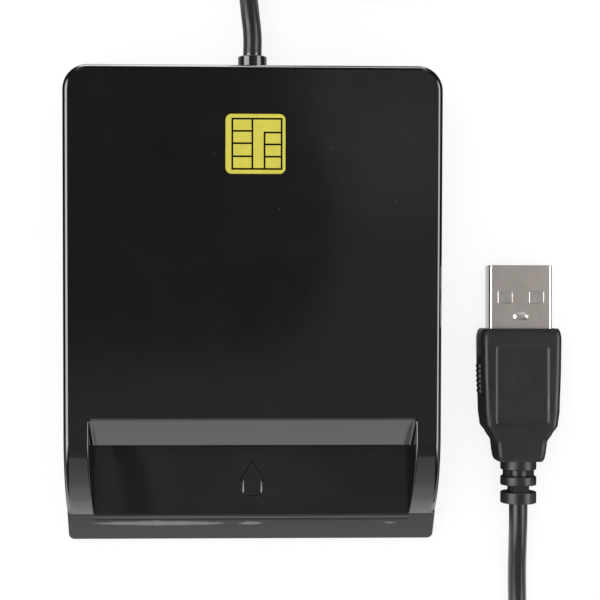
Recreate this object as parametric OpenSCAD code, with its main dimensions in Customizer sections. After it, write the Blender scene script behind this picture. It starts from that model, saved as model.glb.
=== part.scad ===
// Desktop smart card reader with a captive lead and plug.
// Lengths are millimetres. X runs to the right, Y towards the cable, Z up from the table.
// The origin lies on the table under the middle of the case.

/* [Case] */
// Width of the case across the rear
body_w = 70; // [68:0.5:84]
// Length of the case from the front lip to the rear face
body_l = 88.6; // [84:0.1:104]
// Height of the top face above the table
body_h = 14; // [13.5:0.1:18]
// How far each side draws in from the rear to the front
front_taper = 0.4; // [0:0.1:1]
// Thickness of the side and rear walls
wall = 1.6; // [1.2:0.1:2]
// Thickness of the top plate
top_wall = 1.5; // [1.2:0.1:1.7]
// Thickness of the bottom plate
bottom_wall = 1.5; // [1.2:0.1:2]
// Plan radius of the rear corners
corner_r = 4.6; // [3:0.1:7]
// Plan radius of the front corners
front_corner_r = 1.5; // [0.8:0.1:2.5]
// Rounding along the top edges
edge_r = 1.2; // [0.6:0.1:1.5]
// Rounding along the bottom edges
bottom_r = 0.6; // [0.3:0.1:0.9]
// Shadow gap between the two covers
parting_gap = 0.15; // [0.1:0.05:0.3]
// Height of the parting line above the mouth's floor
parting_step = 0.2; // [0.1:0.05:0.4]

/* [Card mouth] */
// Width of the scooped mouth at the top face
mouth_w = 60; // [57:0.5:63]
// How far each side of the mouth leans in at its floor
mouth_draft = 0.4; // [0:0.1:0.8]
// From the front edge back to the top of the sloped face
mouth_l = 23.6; // [20:0.1:26]
// Run of the sloped face above the slot
slope_run = 5.3; // [4:0.1:7]
// Thickness of the sloped face
slope_wall = 1.6; // [1.2:0.1:2.2]
// Height of the slot's upper edge above the floor
slot_open = 2; // [1.6:0.1:2.4]
// Depth of the mouth's floor below the top face
mouth_d = 8; // [7.6:0.1:8.4]
// Thickness of the mouth's floor
floor_wall = 1.4; // [1:0.1:1.8]
// From the front edge back to where the ears begin to fall
ear_l = 20.6; // [17:0.1:24]
// Thickness of the ears' inner walls
ear_wall = 1.4; // [1:0.1:1.8]
// Run of the front lip
lip_run = 5.2; // [3:0.1:5.5]
// Height of the lip's front edge
lip_z = 3.1; // [2.4:0.1:4.2]

/* [Card slot] */
// Width of an identification card
card_w = 53.98; // [53.9:0.02:54.1]
// Thickness of an identification card
card_t = 0.76; // [0.7:0.02:0.84]
// Play of the card at each side
card_side_gap = 0.3; // [0.2:0.05:0.5]
// Play above the card under the slot's roof
roof_gap = 0.45; // [0.4:0.05:0.7]
// Play above the card under the connector
guide_gap = 0.2; // [0.15:0.05:0.3]
// From the rear face of the case to the card stop
stop_back = 13; // [12.5:0.5:16]
// Thickness of the card stop
stop_wall = 1.2; // [1:0.1:1.6]
// Thickness of the side guides
guide_wall = 1.2; // [1:0.1:1.6]
// Number of runners under the card
runner_count = 4; // [3:1:6]
// Thickness of a runner
runner_wall = 1.2; // [0.8:0.1:1.6]

/* [Emblem] */
// Width of the square inlay
emblem_w = 11; // [8:0.5:14]
// Thickness of the inlay
emblem_t = 0.5; // [0.4:0.1:0.6]
// Corner radius of the inlay
emblem_r = 1.1; // [0.8:0.1:1.6]
// From the rear face to the middle of the inlay
emblem_back = 14.6; // [10:0.1:30]
// Place of the inlay to the right of the middle
emblem_x = 0.4; // [-6:0.1:6]
// Gap round the inlay in its pocket
emblem_gap = 0.1; // [0.05:0.05:0.2]
// Width of the engraved lines
line_w = 0.24; // [0.2:0.02:0.4]
// Depth of the engraved lines
line_d = 0.12; // [0.06:0.02:0.2]

/* [Circuit board] */
// Thickness of the board
board_t = 1; // [0.8:0.1:1.2]
// Gap between the board's sides and the case walls
board_side_gap = 1; // [0.6:0.1:1.4]
// From the front case screws back to the board's front edge
board_screw_gap = 8.5; // [6:0.5:10]
// How far the board reaches behind the card stop
board_behind = 3.6; // [3:0.1:3.8]
// Radius of the posts under the board
board_post_r = 2.2; // [2:0.1:2.4]
// From the card stop forward to the rear posts
board_post_back = 5; // [4:0.5:6]
// From the board's front edge back to the front posts
board_post_front = 6; // [4:0.5:8]

/* [Card connector] */
// Height of the connector frame
conn_t = 2.5; // [2.4:0.1:2.8]
// Thickness of the solder feet under the board
foot_t = 0.2; // [0.15:0.05:0.3]
// From a card's leading edge to the middle of its nearer contact row
near_row = 11.25; // [11:0.05:11.5]
// Distance between the two contact rows
row_gap = 7.62; // [7.5:0.02:7.7]
// Distance between contacts in a row
contact_pitch = 2.54; // [2.5:0.02:2.6]
// Place of the contact field to the right of the middle
contact_mid_x = 3.1; // [2.9:0.1:3.3]
// Width of a contact spring
contact_w = 1; // [0.8:0.1:1.1]
// Thickness of the spring strip
contact_t = 0.2; // [0.15:0.05:0.25]
// From a spring's root to its tip
contact_reach = 5; // [4.8:0.1:5.2]
// Height of the spring tips above the floor with no card
contact_low = 0.3; // [0.25:0.05:0.4]
// Bend radius of a spring tip
tip_r = 0.7; // [0.5:0.05:0.9]
// Running gap round the springs in their windows
spring_gap = 0.3; // [0.25:0.05:0.35]

/* [Card switch] */
// Place of the switch lever to the left of the middle
switch_x = 18; // [16:0.5:19]
// Width of the lever
lever_w = 1.6; // [1.2:0.1:2]
// Radius of the lever's pin
lever_pin_r = 0.32; // [0.3:0.02:0.4]
// Running clearance of the lever on its pin
lever_play = 0.05; // [0.03:0.01:0.08]
// Width of the switch body
switch_w = 2.5; // [2:0.1:3]

/* [Fasteners and feet] */
// Radius of a case screw
case_screw_r = 1; // [0.8:0.1:1.2]
// Radius of a case screw's head
case_head_r = 2; // [1.8:0.1:2.2]
// Height of a case screw's head
case_head_t = 1.2; // [1:0.1:1.4]
// Radius of the case screw posts
case_post_r = 2.6; // [2.5:0.1:2.8]
// From the middle to the rear case screws
case_screw_x = 18; // [15:0.5:20]
// From the rear face to the rear case screws
case_screw_back = 6; // [5:0.1:6.2]
// From the mouth's top edge to the front case screws
case_screw_front = 4.5; // [4.5:0.5:6]
// Radius of a board screw
board_screw_r = 0.9; // [0.8:0.05:1]
// Radius of a board screw's head
board_head_r = 1.7; // [1.5:0.1:1.8]
// Height of a board screw's head
board_head_t = 0.9; // [0.7:0.1:1]
// Gap round every screw in its hole
screw_gap = 0.1; // [0.05:0.05:0.15]
// Radius of a rubber foot
pad_r = 4; // [3:0.1:5]
// Height of a foot below the base
pad_h = 0.8; // [0.6:0.1:1.2]
// Depth of a foot in its recess
pad_sunk = 0.4; // [0.3:0.1:0.6]
// From the case's sides and ends to the middle of a foot
pad_inset = 7.5; // [6:0.1:10]

/* [Cable] */
// Diameter of the cable
cord_d = 3.5; // [3:0.1:3.6]
// Length of the gland outside the case
gland_out = 3.2; // [2.5:0.1:6]
// Radius of the gland outside the case
gland_r = 2.72; // [2.5:0.02:3]
// Radius of the gland where the case grips it
gland_neck_r = 2.3; // [2.1:0.05:2.4]
// Radius of the gland's inner flange
gland_flange_r = 3.3; // [3:0.1:3.5]
// Thickness of the gland's inner flange
gland_flange_t = 1.2; // [0.8:0.1:1.4]
// Gap between the gland and the case
gland_gap = 0.1; // [0.05:0.05:0.15]
// Radius of the coil's outer loops
coil_r = 25; // [24:0.5:30]
// Gap between neighbouring loops
coil_gap = 0.5; // [0.45:0.05:0.8]
// Thickness of the tie round the coil
tie_t = 0.4; // [0.3:0.1:0.6]
// Width of the tie
tie_w = 4; // [3:0.5:6]

/* [Plug] */
// Width of the metal shell
shell_w = 12; // [11.9:0.05:12.1]
// Height of the metal shell
shell_h = 4.5; // [4.4:0.05:4.6]
// Length of the shell outside the grip
shell_out = 12; // [11.5:0.1:13]
// Length of the shell inside the grip
shell_in = 4; // [3:0.1:5]
// Thickness of the shell's sheet
shell_t = 0.3; // [0.25:0.05:0.4]
// Width of the grip
grip_w = 15.2; // [14.6:0.1:16.5]
// Thickness of the grip
grip_t = 8; // [7.6:0.1:9]
// Length of the grip
grip_l = 25.2; // [23:0.1:30]
// Width of the grip's neck
neck_w = 9.8; // [9:0.1:11]
// Depth of the panels in the grip's faces
panel_d = 0.35; // [0.2:0.05:0.5]
// Number of ribs down each side of the grip
rib_count = 6; // [4:1:8]
// Radius of the strain relief's rings
relief_r = 3.4; // [3.2:0.1:3.8]
// Length of the strain relief
relief_l = 8.1; // [7:0.1:10]

/* [Hidden] */
$fn = 40;
// Overrun of every cut past the face that it opens
over = 1;
// Number of steps in a corner, an ear's curve and an edge rounding
corner_steps = 7;
ear_steps = 10;
edge_steps = 4;

// Where the body's faces and curves lie
floor_z = body_h - mouth_d;
rear_y = body_l / 2;
front_y = -body_l / 2;
base_z = pad_h;
parting_z = floor_z + parting_step;
cover_z = parting_z + parting_gap;
lip_y = front_y + lip_run;
ear_y = front_y + ear_l;
mouth_y = front_y + mouth_l;
slot_y = mouth_y - slope_run;
slot_top_z = floor_z + slot_open;
roof_z = floor_z + card_t + roof_gap;
inside_z = base_z + bottom_wall;
inner_x = body_w / 2 - front_taper - wall;
ceiling_z = body_h - top_wall;
lip_slope = (parting_z - lip_z) / lip_run;

// The ear falls along one arc, from level at ear_y down to the parting line at lip_y
ear_run = ear_y - lip_y;
ear_drop = body_h - parting_z;
ear_r = (ear_run * ear_run + ear_drop * ear_drop) / (2 * ear_drop);
ear_mid_z = body_h - ear_r;
// Thickness left at the ear's front edge
ear_edge = 0.3;
ear_end_a = acos((cover_z + ear_edge - ear_mid_z) / ear_r);
hollow_end_a = acos((cover_z - ear_mid_z) / (ear_r - top_wall));
// Share of the room at a section's end that a rounding may take
rounding_share = 0.9;

// Where the card, its connector and the board lie
stop_y = rear_y - stop_back;
card_top_z = floor_z + card_t;
guide_z = card_top_z + guide_gap;
guide_x = card_w / 2 + card_side_gap;
seat_gap = 0.1;
conn_z = guide_z + seat_gap;
conn_top_z = conn_z + conn_t;
board_z = conn_top_z + foot_t;
board_top_z = board_z + board_t;
conn_rear_y = stop_y - seat_gap * 2;
rear_tip_y = stop_y - near_row;
front_tip_y = rear_tip_y - row_gap;
rear_root_y = rear_tip_y - contact_reach;
front_root_y = front_tip_y - contact_reach;
// Solid bar of the frame in front of the first windows
conn_bar = 1.2;
hub_r = 0.35;
conn_front_y = front_root_y - hub_r - spring_gap - conn_bar;
// Height of a spring's root above the bottom of the connector frame
root_rise = 1.5;
root_z = conn_z + root_rise;
contact_count = 4;

// Posts and screws
top_post_step = 0.2;
top_post_r = case_post_r - top_post_step;
front_screw_x = guide_x + guide_wall + seat_gap + top_post_r;
front_screw_y = mouth_y + case_screw_front;
// Half width of the board; its screws sit at its sides, clear of the guides
board_x = inner_x - board_side_gap;
board_edge = 0.2;
board_post_x = max(guide_x + guide_wall / 2 + board_post_r, board_x - board_edge - board_head_r);
board_front_y = front_screw_y + board_screw_gap;
board_post_ys = [stop_y - board_post_back, board_front_y + board_post_front];
rear_screw_y = rear_y - case_screw_back;
case_screw_places = [[-case_screw_x, rear_screw_y], [case_screw_x, rear_screw_y],
    [-front_screw_x, front_screw_y], [front_screw_x, front_screw_y]];
board_post_places = [for (side = [-1, 1]) for (y = board_post_ys) [side * board_post_x, y]];
head_sink = 0.3;
head_z = base_z + head_sink;
head_top_z = head_z + case_head_t;
blind_share = 1.5;
case_screw_top_z = ceiling_z - blind_share * case_screw_r;
board_screw_low_z = floor_z - case_screw_r;
// Width and depth of a screw's cross slot
drive_w = 0.5;
drive_d = 0.5;

// Places of the rubber feet
pad_places = [for (side = [-1, 1]) for (y = [front_y + pad_inset, rear_y - pad_inset])
    [side * (body_w / 2 - front_taper - pad_inset), y]];

// The board and its rear tongue
board_rear_y = stop_y + board_behind;
header_w = 8.4;
header_l = 3;
header_h = 2.5;
header_gap = 0.8;
header_y = stop_y + stop_wall + header_gap;
tongue_x = header_w / 2 + 2 * header_gap;
tongue_y = header_y + header_l + header_gap;
peg_r = 0.8;
peg_inset = 4;
peg_x = guide_x - peg_inset;
peg_y = rear_root_y + contact_reach / 2;

// The gland, halfway into each cover
gland_rise = 3.9;
gland_z = inside_z + gland_rise;
gland_flange_y = rear_y - wall - gland_gap;
gland_inner_y = gland_flange_y - gland_flange_t;
gland_end_y = rear_y + gland_out;
gland_stub = 0.4;
stub_y = gland_inner_y - gland_stub;

// The coil: one tube that spirals in on the table, climbs and spirals out on top
cord_r = cord_d / 2;
coil_pitch = cord_d + coil_gap;
coil_turns = 5.25;
coil_mid = [22, 88];
coil_in_a = 180;
table_gap = 0.05;
tie_clear = 0.05;
tie_side_clear = 0.4;
coil_z = cord_r + tie_t + tie_clear + table_gap;
climb_turns = 0.5;
rings_per_turn = 24;
coil_sides = 6;
lead_sides = 8;

// Route of the cable from the gland to the coil
lead_out_route = [[0, 47.5, 6.2], [0, 51, 6.2], [-0.4, 55, 5.9], [-1, 61, 4.8], [-1.8, 68, 3.4],
    [-2.6, 75, 2.5], [-3, 81, 2.25], [-3, 84.5, 2.25]];
// Route of the cable from the coil to the plug
lead_in_route = [[25.5, 113, 6.25], [29, 113, 6.25], [37, 113, 5.4], [46, 113, 3.6],
    [55, 113, 2.2], [64, 113, 1.75], [69.7, 111.9, 1.75], [74.6, 108.6, 1.75],
    [77.9, 103.7, 1.75], [79, 98, 1.75], [79, 88, 1.75], [79, 78, 1.75], [79, 68, 1.75],
    [79, 58, 1.75], [79, 48, 1.75], [79, 38, 1.75], [79, 28, 1.75], [79, 18, 1.75],
    [79, 8, 1.75], [79, -2, 1.75], [79, -12, 1.75], [79, -22, 1.75], [79, -32, 1.75],
    [79, -42, 1.75], [79, -52, 1.75], [79, -61, 1.75], [77.9, -66.4, 1.75],
    [74.9, -70.9, 1.75], [70.4, -73.9, 1.75], [65, -75, 1.75], [59.6, -73.9, 1.75],
    [55.1, -70.9, 1.75], [52.2, -66.4, 1.75], [51.4, -61, 1.75], [51.3, -56, 1.8],
    [51.1, -50, 2.6], [51, -45, 3.6], [51, -41, 4], [51, -37.5, 4]];

// Where the plug lies
plug_x = 51;
plug_tail_y = -37.5;
grip_rear_y = plug_tail_y + relief_l;
grip_front_y = grip_rear_y + grip_l;
plug_tip_y = grip_front_y + shell_out;
plug_z = grip_t / 2;
fit_gap = 0.05;

// Small shapes that are used throughout

module box(x0, x1, y0, y1, z0, z1) {
    translate([x0, y0, z0]) cube([x1 - x0, y1 - y0, z1 - z0]);
}

module post(place, r, z0, z1) {
    translate([place[0], place[1], z0]) cylinder(r = r, h = z1 - z0);
}

// A cylinder that lies along Y
module rod_y(r, x, z, y0, y1) {
    translate([x, y1, z]) rotate([90, 0, 0]) cylinder(r = r, h = y1 - y0);
}

// A cylinder that lies along X
module rod_x(r, y, z, x0, x1) {
    translate([x0, y, z]) rotate([0, 90, 0]) cylinder(r = r, h = x1 - x0);
}

// A side profile of points (y, z), drawn out across the width
module prism_x(half, points) {
    translate([-half, 0, 0]) rotate([90, 0, 90]) linear_extrude(2 * half) polygon(points);
}

// A front profile of points (x, z), drawn out from y0 to y1
module prism_y(y0, y1, points) {
    translate([0, y1, 0]) rotate([90, 0, 0]) linear_extrude(y1 - y0) polygon(points);
}

module rounded_square(w, h, r) {
    square([w - 2 * r, h], center = true);
    square([w, h - 2 * r], center = true);
    for (i = [-1, 1], j = [-1, 1]) {
        translate([i * (w / 2 - r), j * (h / 2 - r)]) circle(r = r);
    }
}

// A skin over rings of equal length, each a closed outline seen from the last ring
module loft(rings) {
    n = len(rings[0]);
    last = len(rings) - 1;
    sides = [for (k = [0:last - 1]) for (i = [0:n - 1])
        let (j = (i + 1) % n)
        each [[k * n + i, (k + 1) * n + i, (k + 1) * n + j],
            [k * n + i, (k + 1) * n + j, k * n + j]]];
    ends = [[for (i = [0:n - 1]) i], [for (i = [n - 1:-1:0]) last * n + i]];
    polyhedron(points = [for (ring = rings) each ring], faces = concat(sides, ends));
}

// Half width of the case in plan, set in by an inset
function plan_x(y, inset) =
    let (x = body_w / 2 - inset - front_taper * (rear_y - y) / body_l,
        rear_r = corner_r - inset,
        front_r = max(front_corner_r - inset, 0),
        back = y - (rear_y - inset - rear_r),
        fore = front_y + inset + front_r - y)
    back > 0 ? x - rear_r + sqrt(max(rear_r * rear_r - back * back, 0))
    : fore > 0 ? x - front_r + sqrt(max(front_r * front_r - fore * fore, 0))
    : x;

// Drop of a rounded end edge at a distance from that end
function end_drop(distance, r) =
    distance >= r ? 0 : r - sqrt(max(r * r - (r - distance) * (r - distance), 0));

// Height of the top face, set in by a thickness
function crown_z(y, inset) =
    y >= ear_y ? body_h - inset
    : ear_mid_z + sqrt((ear_r - inset) * (ear_r - inset) - (ear_y - y) * (ear_y - y));

// Stations along the case, from the rear corners to the front
function rear_stations(inset) =
    let (r = corner_r - inset)
    [for (i = [0:corner_steps]) rear_y - inset - r + r * cos(90 * i / corner_steps)];
function ear_stations(inset, end_a) =
    [for (i = [0:ear_steps]) ear_y - (ear_r - inset) * sin(end_a * i / ear_steps)];

// Outline of the top cover across the case at y
function cover_ring(y) =
    let (x = plan_x(y, 0),
        z = crown_z(y, 0) - end_drop(rear_y - y, edge_r),
        r = min(edge_r, (z - cover_z) * rounding_share))
    concat([[x, y, cover_z]],
        [for (i = [0:edge_steps]) let (a = 90 * i / edge_steps)
            [x - r + r * cos(a), y, z - r + r * sin(a)]],
        [for (i = [edge_steps:-1:0]) let (a = 90 * i / edge_steps)
            [-x + r - r * cos(a), y, z - r + r * sin(a)]],
        [[-x, y, cover_z]]);

// Outline of the hollow under the top cover
function hollow_ring(y) =
    let (x = plan_x(y, wall), z = crown_z(y, top_wall), low = cover_z - over)
    [[x, y, low], [x, y, z], [-x, y, z], [-x, y, low]];

// Outline of the base across the case at y
function base_ring(y) =
    let (x = plan_x(y, 0),
        low = base_z + end_drop(min(rear_y - y, y - front_y), bottom_r),
        top = y >= lip_y ? parting_z : parting_z - (lip_y - y) * lip_slope,
        r = bottom_r)
    concat([for (i = [edge_steps:-1:0]) let (a = 90 * i / edge_steps)
            [x - r + r * cos(a), y, low + r - r * sin(a)]],
        [[x, y, top], [-x, y, top]],
        [for (i = [0:edge_steps]) let (a = 90 * i / edge_steps)
            [-x + r - r * cos(a), y, low + r - r * sin(a)]]);

// Outline of the hollow in the base
function tray_ring(y) =
    let (x = plan_x(y, wall), top = parting_z + over)
    [[x, y, inside_z], [x, y, top], [-x, y, top], [-x, y, inside_z]];

module cover_skin() {
    loft([for (y = concat(rear_stations(0), ear_stations(0, ear_end_a))) cover_ring(y)]);
}

module cover_hollow() {
    stations = concat(rear_stations(wall), ear_stations(top_wall, hollow_end_a));
    loft([for (y = stations) hollow_ring(y)]);
}

module base_skin() {
    front = [for (i = [0:corner_steps])
        front_y + front_corner_r - front_corner_r * sin(90 * i / corner_steps)];
    loft([for (y = concat(rear_stations(0), [lip_y], front)) base_ring(y)]);
}

module base_hollow() {
    loft([for (y = concat(rear_stations(wall), [lip_y + conn_bar])) tray_ring(y)]);
}

// The sloped wall over the slot, with the roof that leads the card in
module slot_brow() {
    rise = body_h - slot_top_z;
    back = slope_wall * norm([slope_run, rise]) / rise;
    lead = slot_open - card_t - roof_gap;
    roof_l = 2 * slope_wall + lead;
    roof_top_z = roof_z + ear_wall;
    prism_x(mouth_w / 2 + ear_wall, [
        [mouth_y, body_h],
        [slot_y, slot_top_z],
        [slot_y, roof_z + lead / 2],
        [slot_y + lead, roof_z],
        [slot_y + lead + roof_l, roof_z],
        [slot_y + lead + roof_l, roof_top_z],
        [slot_y + back + (roof_top_z - slot_top_z) * slope_run / rise, roof_top_z],
        [mouth_y + back, body_h]]);
}

// The opening that the mouth leaves between the ears
module mouth_cut() {
    half = mouth_w / 2;
    lean = mouth_draft / (body_h - floor_z);
    high = body_h + over;
    low = floor_z - over;
    intersection() {
        prism_y(front_y - over, mouth_y + over + slope_run, [
            [half + lean * over, high],
            [-half - lean * over, high],
            [-half + mouth_draft + lean * over, low],
            [half - mouth_draft - lean * over, low]]);
        prism_x(body_w, [
            [front_y - over, low],
            [slot_y, low],
            [slot_y, slot_top_z],
            [mouth_y + over * slope_run / (body_h - slot_top_z), high],
            [front_y - over, high]]);
    }
}

module top_cover() {
    color("#1c1c1e") difference() {
        union() {
            difference() {
                cover_skin();
                cover_hollow();
            }
            intersection() {
                cover_skin();
                union() {
                    slot_brow();
                    for (side = [-1, 1]) {
                        outer = side * (mouth_w / 2 + ear_wall);
                        inner = side * (mouth_w / 2 - mouth_draft - ear_wall);
                        box(min(outer, inner), max(outer, inner),
                            front_y, mouth_y, cover_z, body_h);
                    }
                }
            }
            for (place = case_screw_places) {
                post(place, top_post_r, parting_z, ceiling_z + top_wall / 2);
            }
        }
        mouth_cut();
        for (place = case_screw_places) {
            post(place, case_screw_r + screw_gap, parting_z - over, case_screw_top_z + screw_gap);
        }
        translate([emblem_x, rear_y - emblem_back, body_h - emblem_t])
            linear_extrude(emblem_t + over)
                rounded_square(emblem_w + 2 * emblem_gap, emblem_w + 2 * emblem_gap,
                    emblem_r + emblem_gap);
        rod_y(gland_neck_r + gland_gap, 0, gland_z, rear_y - corner_r, rear_y + over);
    }
}

// Runners, guides and the stop that carry the card
module card_channel() {
    channel_y = lip_y + conn_bar;
    for (i = [0:runner_count - 1]) {
        x = card_w * ((i + 0.5) / runner_count - 0.5);
        box(x - runner_wall / 2, x + runner_wall / 2, slot_y, stop_y, inside_z, floor_z);
    }
    for (side = [-1, 1]) {
        inner = side * guide_x;
        outer = side * (guide_x + guide_wall);
        box(min(inner, outer), max(inner, outer), mouth_y + seat_gap, stop_y + stop_wall,
            inside_z, guide_z);
    }
    box(-guide_x - guide_wall / 2, guide_x + guide_wall / 2, stop_y, stop_y + stop_wall,
        inside_z, guide_z);
    box(-inner_x - wall / 2, inner_x + wall / 2, channel_y - conn_bar, slot_y + runner_wall,
        floor_z - floor_wall, floor_z);
}

// The rim that centres the top cover on the base
module base_rim() {
    rim_x = inner_x - parting_gap;
    rim_front_y = front_screw_y + case_post_r;
    rim_rear_y = rear_y - corner_r;
    rim_wall = wall / 2;
    for (flip = [0, 1]) {
        mirror([flip, 0, 0]) {
            box(rim_x - rim_wall, rim_x, rim_front_y, rim_rear_y,
                floor_z - floor_wall, parting_z + rim_wall);
            box(rim_x - rim_wall, rim_x + wall, rim_front_y, rim_rear_y,
                floor_z - floor_wall, parting_z);
        }
    }
}

module base_cover() {
    color("#202022") difference() {
        union() {
            difference() {
                base_skin();
                base_hollow();
            }
            card_channel();
            base_rim();
            for (place = case_screw_places) {
                post(place, case_post_r, inside_z - bottom_wall / 2, parting_z);
            }
            for (place = board_post_places) {
                post(place, board_post_r, inside_z - bottom_wall / 2, board_z);
            }
        }
        for (place = case_screw_places) {
            post(place, case_screw_r + screw_gap, base_z - over, parting_z + over);
            post(place, case_head_r + screw_gap, base_z - over, head_top_z);
        }
        for (place = board_post_places) {
            post(place, board_screw_r + screw_gap, board_screw_low_z - screw_gap, board_z + over);
        }
        for (place = pad_places) {
            post(place, pad_r + screw_gap, base_z - over, base_z + pad_sunk);
        }
        rod_y(gland_neck_r + gland_gap, 0, gland_z, rear_y - corner_r, rear_y + over);
    }
}

// The square inlay with its field of engraved lines
module chip_emblem() {
    half = emblem_w / 2;
    frame_share = 0.84;
    edge = half * frame_share;
    bar_share = -0.11;
    post_share = 0.3;
    row = edge / 2;
    low = emblem_t - line_d;
    color("#cfc055") translate([emblem_x, rear_y - emblem_back, body_h - emblem_t])
        difference() {
            linear_extrude(emblem_t) rounded_square(emblem_w, emblem_w, emblem_r);
            for (side = [-1, 1]) {
                groove(-edge, edge, side * edge, side * edge, low);
                groove(side * edge, side * edge, -edge, edge, low);
            }
            groove(half * bar_share, half * bar_share, -edge, edge, low);
            groove(half * post_share, half * post_share, -edge, row, low);
            for (i = [-1:1]) {
                groove(-edge, half * bar_share, i * row, i * row, low);
                groove(half * post_share, edge, i * row, i * row, low);
            }
        }
}

// One straight line cut into the inlay
module groove(x0, x1, y0, y1, z) {
    box(x0 - line_w / 2, x1 + line_w / 2, y0 - line_w / 2, y1 + line_w / 2, z, z + over);
}

module circuit_board() {
    color("#2f6b3c") difference() {
        union() {
            box(-board_x, board_x, board_front_y, board_rear_y, board_z, board_top_z);
            box(-tongue_x, tongue_x, board_front_y, tongue_y, board_z, board_top_z);
        }
        for (place = board_post_places) {
            post(place, board_screw_r + 2 * screw_gap, board_z - over, board_top_z + over);
        }
        for (side = [-1, 1]) {
            post([side * peg_x, peg_y], peg_r + screw_gap, board_z - over, board_top_z + over);
        }
    }
}

// Windows for one row of contact springs
module contact_windows(root_y) {
    half = contact_w / 2 + spring_gap;
    for (i = [0:contact_count - 1]) {
        x = contact_x(i);
        box(x - half, x + half, root_y - hub_r - spring_gap,
            root_y + contact_reach + tip_r + 2 * spring_gap, conn_z - over, conn_top_z + over);
    }
}

function contact_x(i) = contact_mid_x + (i - (contact_count - 1) / 2) * contact_pitch;

// Cored pockets between two corners of the frame's underside
module cored_field(x0, x1, y0, y1, columns, rows) {
    rib = runner_wall;
    web = conn_bar;
    pocket_w = (x1 - x0 - (columns - 1) * rib) / columns;
    pocket_l = (y1 - y0 - (rows - 1) * rib) / rows;
    for (i = [0:columns - 1], j = [0:rows - 1]) {
        x = x0 + i * (pocket_w + rib);
        y = y0 + j * (pocket_l + rib);
        box(x, x + pocket_w, y, y + pocket_l, conn_z - over, conn_top_z - web);
    }
}

// Bay for the card switch and its lever
switch_left_x = -switch_x - lever_w / 2 - spring_gap - switch_w;
switch_right_x = -switch_x + lever_w / 2 + 2 * spring_gap;
lever_hub_r = 0.75;
lever_root_y = stop_y - near_row + lever_hub_r + 2 * spring_gap;
lever_reach = 6.6;
switch_front_y = lever_root_y - lever_hub_r - spring_gap;
switch_rear_y = lever_root_y + lever_reach + tip_r + 2 * spring_gap;

module card_connector() {
    field_x = contact_x(contact_count - 1) + contact_w + conn_bar;
    color("#18181a") {
        difference() {
            box(-guide_x, guide_x, conn_front_y, conn_rear_y, conn_z, conn_top_z);
            contact_windows(front_root_y);
            contact_windows(rear_root_y);
            cored_field(field_x + conn_bar, guide_x - conn_bar, conn_front_y + conn_bar,
                conn_rear_y - conn_bar, 3, 4);
            cored_field(-guide_x + conn_bar, contact_x(0) - contact_w - conn_bar,
                conn_front_y + conn_bar, switch_front_y - 2 * conn_bar, 4, 2);
            box(switch_left_x - seat_gap, switch_right_x, switch_front_y, switch_rear_y,
                conn_z - over, conn_top_z + over);
        }
        for (side = [-1, 1]) {
            post([side * peg_x, peg_y], peg_r, conn_top_z - seat_gap, board_top_z);
        }
    }
}

// Solder feet between the frame and the board, one to each spring and one to each corner
module connector_feet() {
    reach = conn_bar;
    pad = 2 * contact_w;
    color("#c9c9cc") {
        for (i = [0:contact_count - 1]) {
            x = contact_x(i);
            box(x - contact_w / 2, x + contact_w / 2, conn_front_y - reach,
                conn_front_y + reach, conn_top_z, board_z);
            box(x - contact_w / 2, x + contact_w / 2, conn_rear_y - reach,
                conn_rear_y + reach, conn_top_z, board_z);
        }
        for (side = [-1, 1], y = [conn_front_y, conn_rear_y - pad]) {
            box(side * (guide_x - pad) - pad / 2, side * (guide_x - pad) + pad / 2,
                y, y + pad, conn_top_z, board_z);
        }
    }
}

// A strip of even thickness along a path of points
function ribbon(path, t) =
    let (last = len(path) - 1,
        ahead = [for (i = [0:last]) path[min(i + 1, last)] - path[max(i - 1, 0)]],
        side = [for (d = ahead) [-d[1], d[0]] / norm(d) * t / 2])
    concat([for (i = [0:last]) path[i] + side[i]], [for (i = [last:-1:0]) path[i] - side[i]]);

// Path of a spring arm from its root at the origin down to a curled tip
function spring_path(reach, drop, r, curl, steps) =
    let (mid = [reach, r - drop],
        slant = atan2(-mid[1], mid[0]) + asin(r / norm(mid)))
    concat([[0, 0]], [for (i = [0:steps])
        let (a = -slant + (slant + curl) * i / steps) mid + r * [sin(a), -cos(a)]]);

// One sprung arm with a round root, across a width
module spring_arm(reach, drop, width, root_r) {
    curl = 40;
    steps = 6;
    path = spring_path(reach, drop - contact_t / 2, tip_r, curl, steps);
    prism_x(width / 2, ribbon(path, contact_t));
    rod_x(root_r, 0, 0, -width / 2, width / 2);
}

module contact_row(root_y) {
    for (i = [0:contact_count - 1]) {
        translate([contact_x(i), root_y, root_z])
            spring_arm(contact_reach, root_z - floor_z - contact_low, contact_w, hub_r);
    }
}

module contact_springs_front() {
    color("#d8b25a") contact_row(front_root_y);
}

module contact_springs_rear() {
    color("#d8b25a") contact_row(rear_root_y);
}

// Switch body with the pin that carries the lever
module card_switch() {
    body_x = switch_left_x + switch_w;
    color("#2a2a2d") {
        box(switch_left_x, body_x, switch_front_y + seat_gap, switch_rear_y - seat_gap,
            conn_z + seat_gap, board_z);
        rod_x(lever_pin_r, lever_root_y, root_z, body_x - seat_gap, switch_right_x - spring_gap);
    }
}

module card_switch_lever() {
    color("#d0d0d4") translate([-switch_x, lever_root_y, root_z]) difference() {
        spring_arm(lever_reach, root_z - floor_z - contact_low, lever_w, lever_hub_r);
        rod_x(lever_pin_r + lever_play, 0, 0, -lever_w, lever_w);
    }
}

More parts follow.
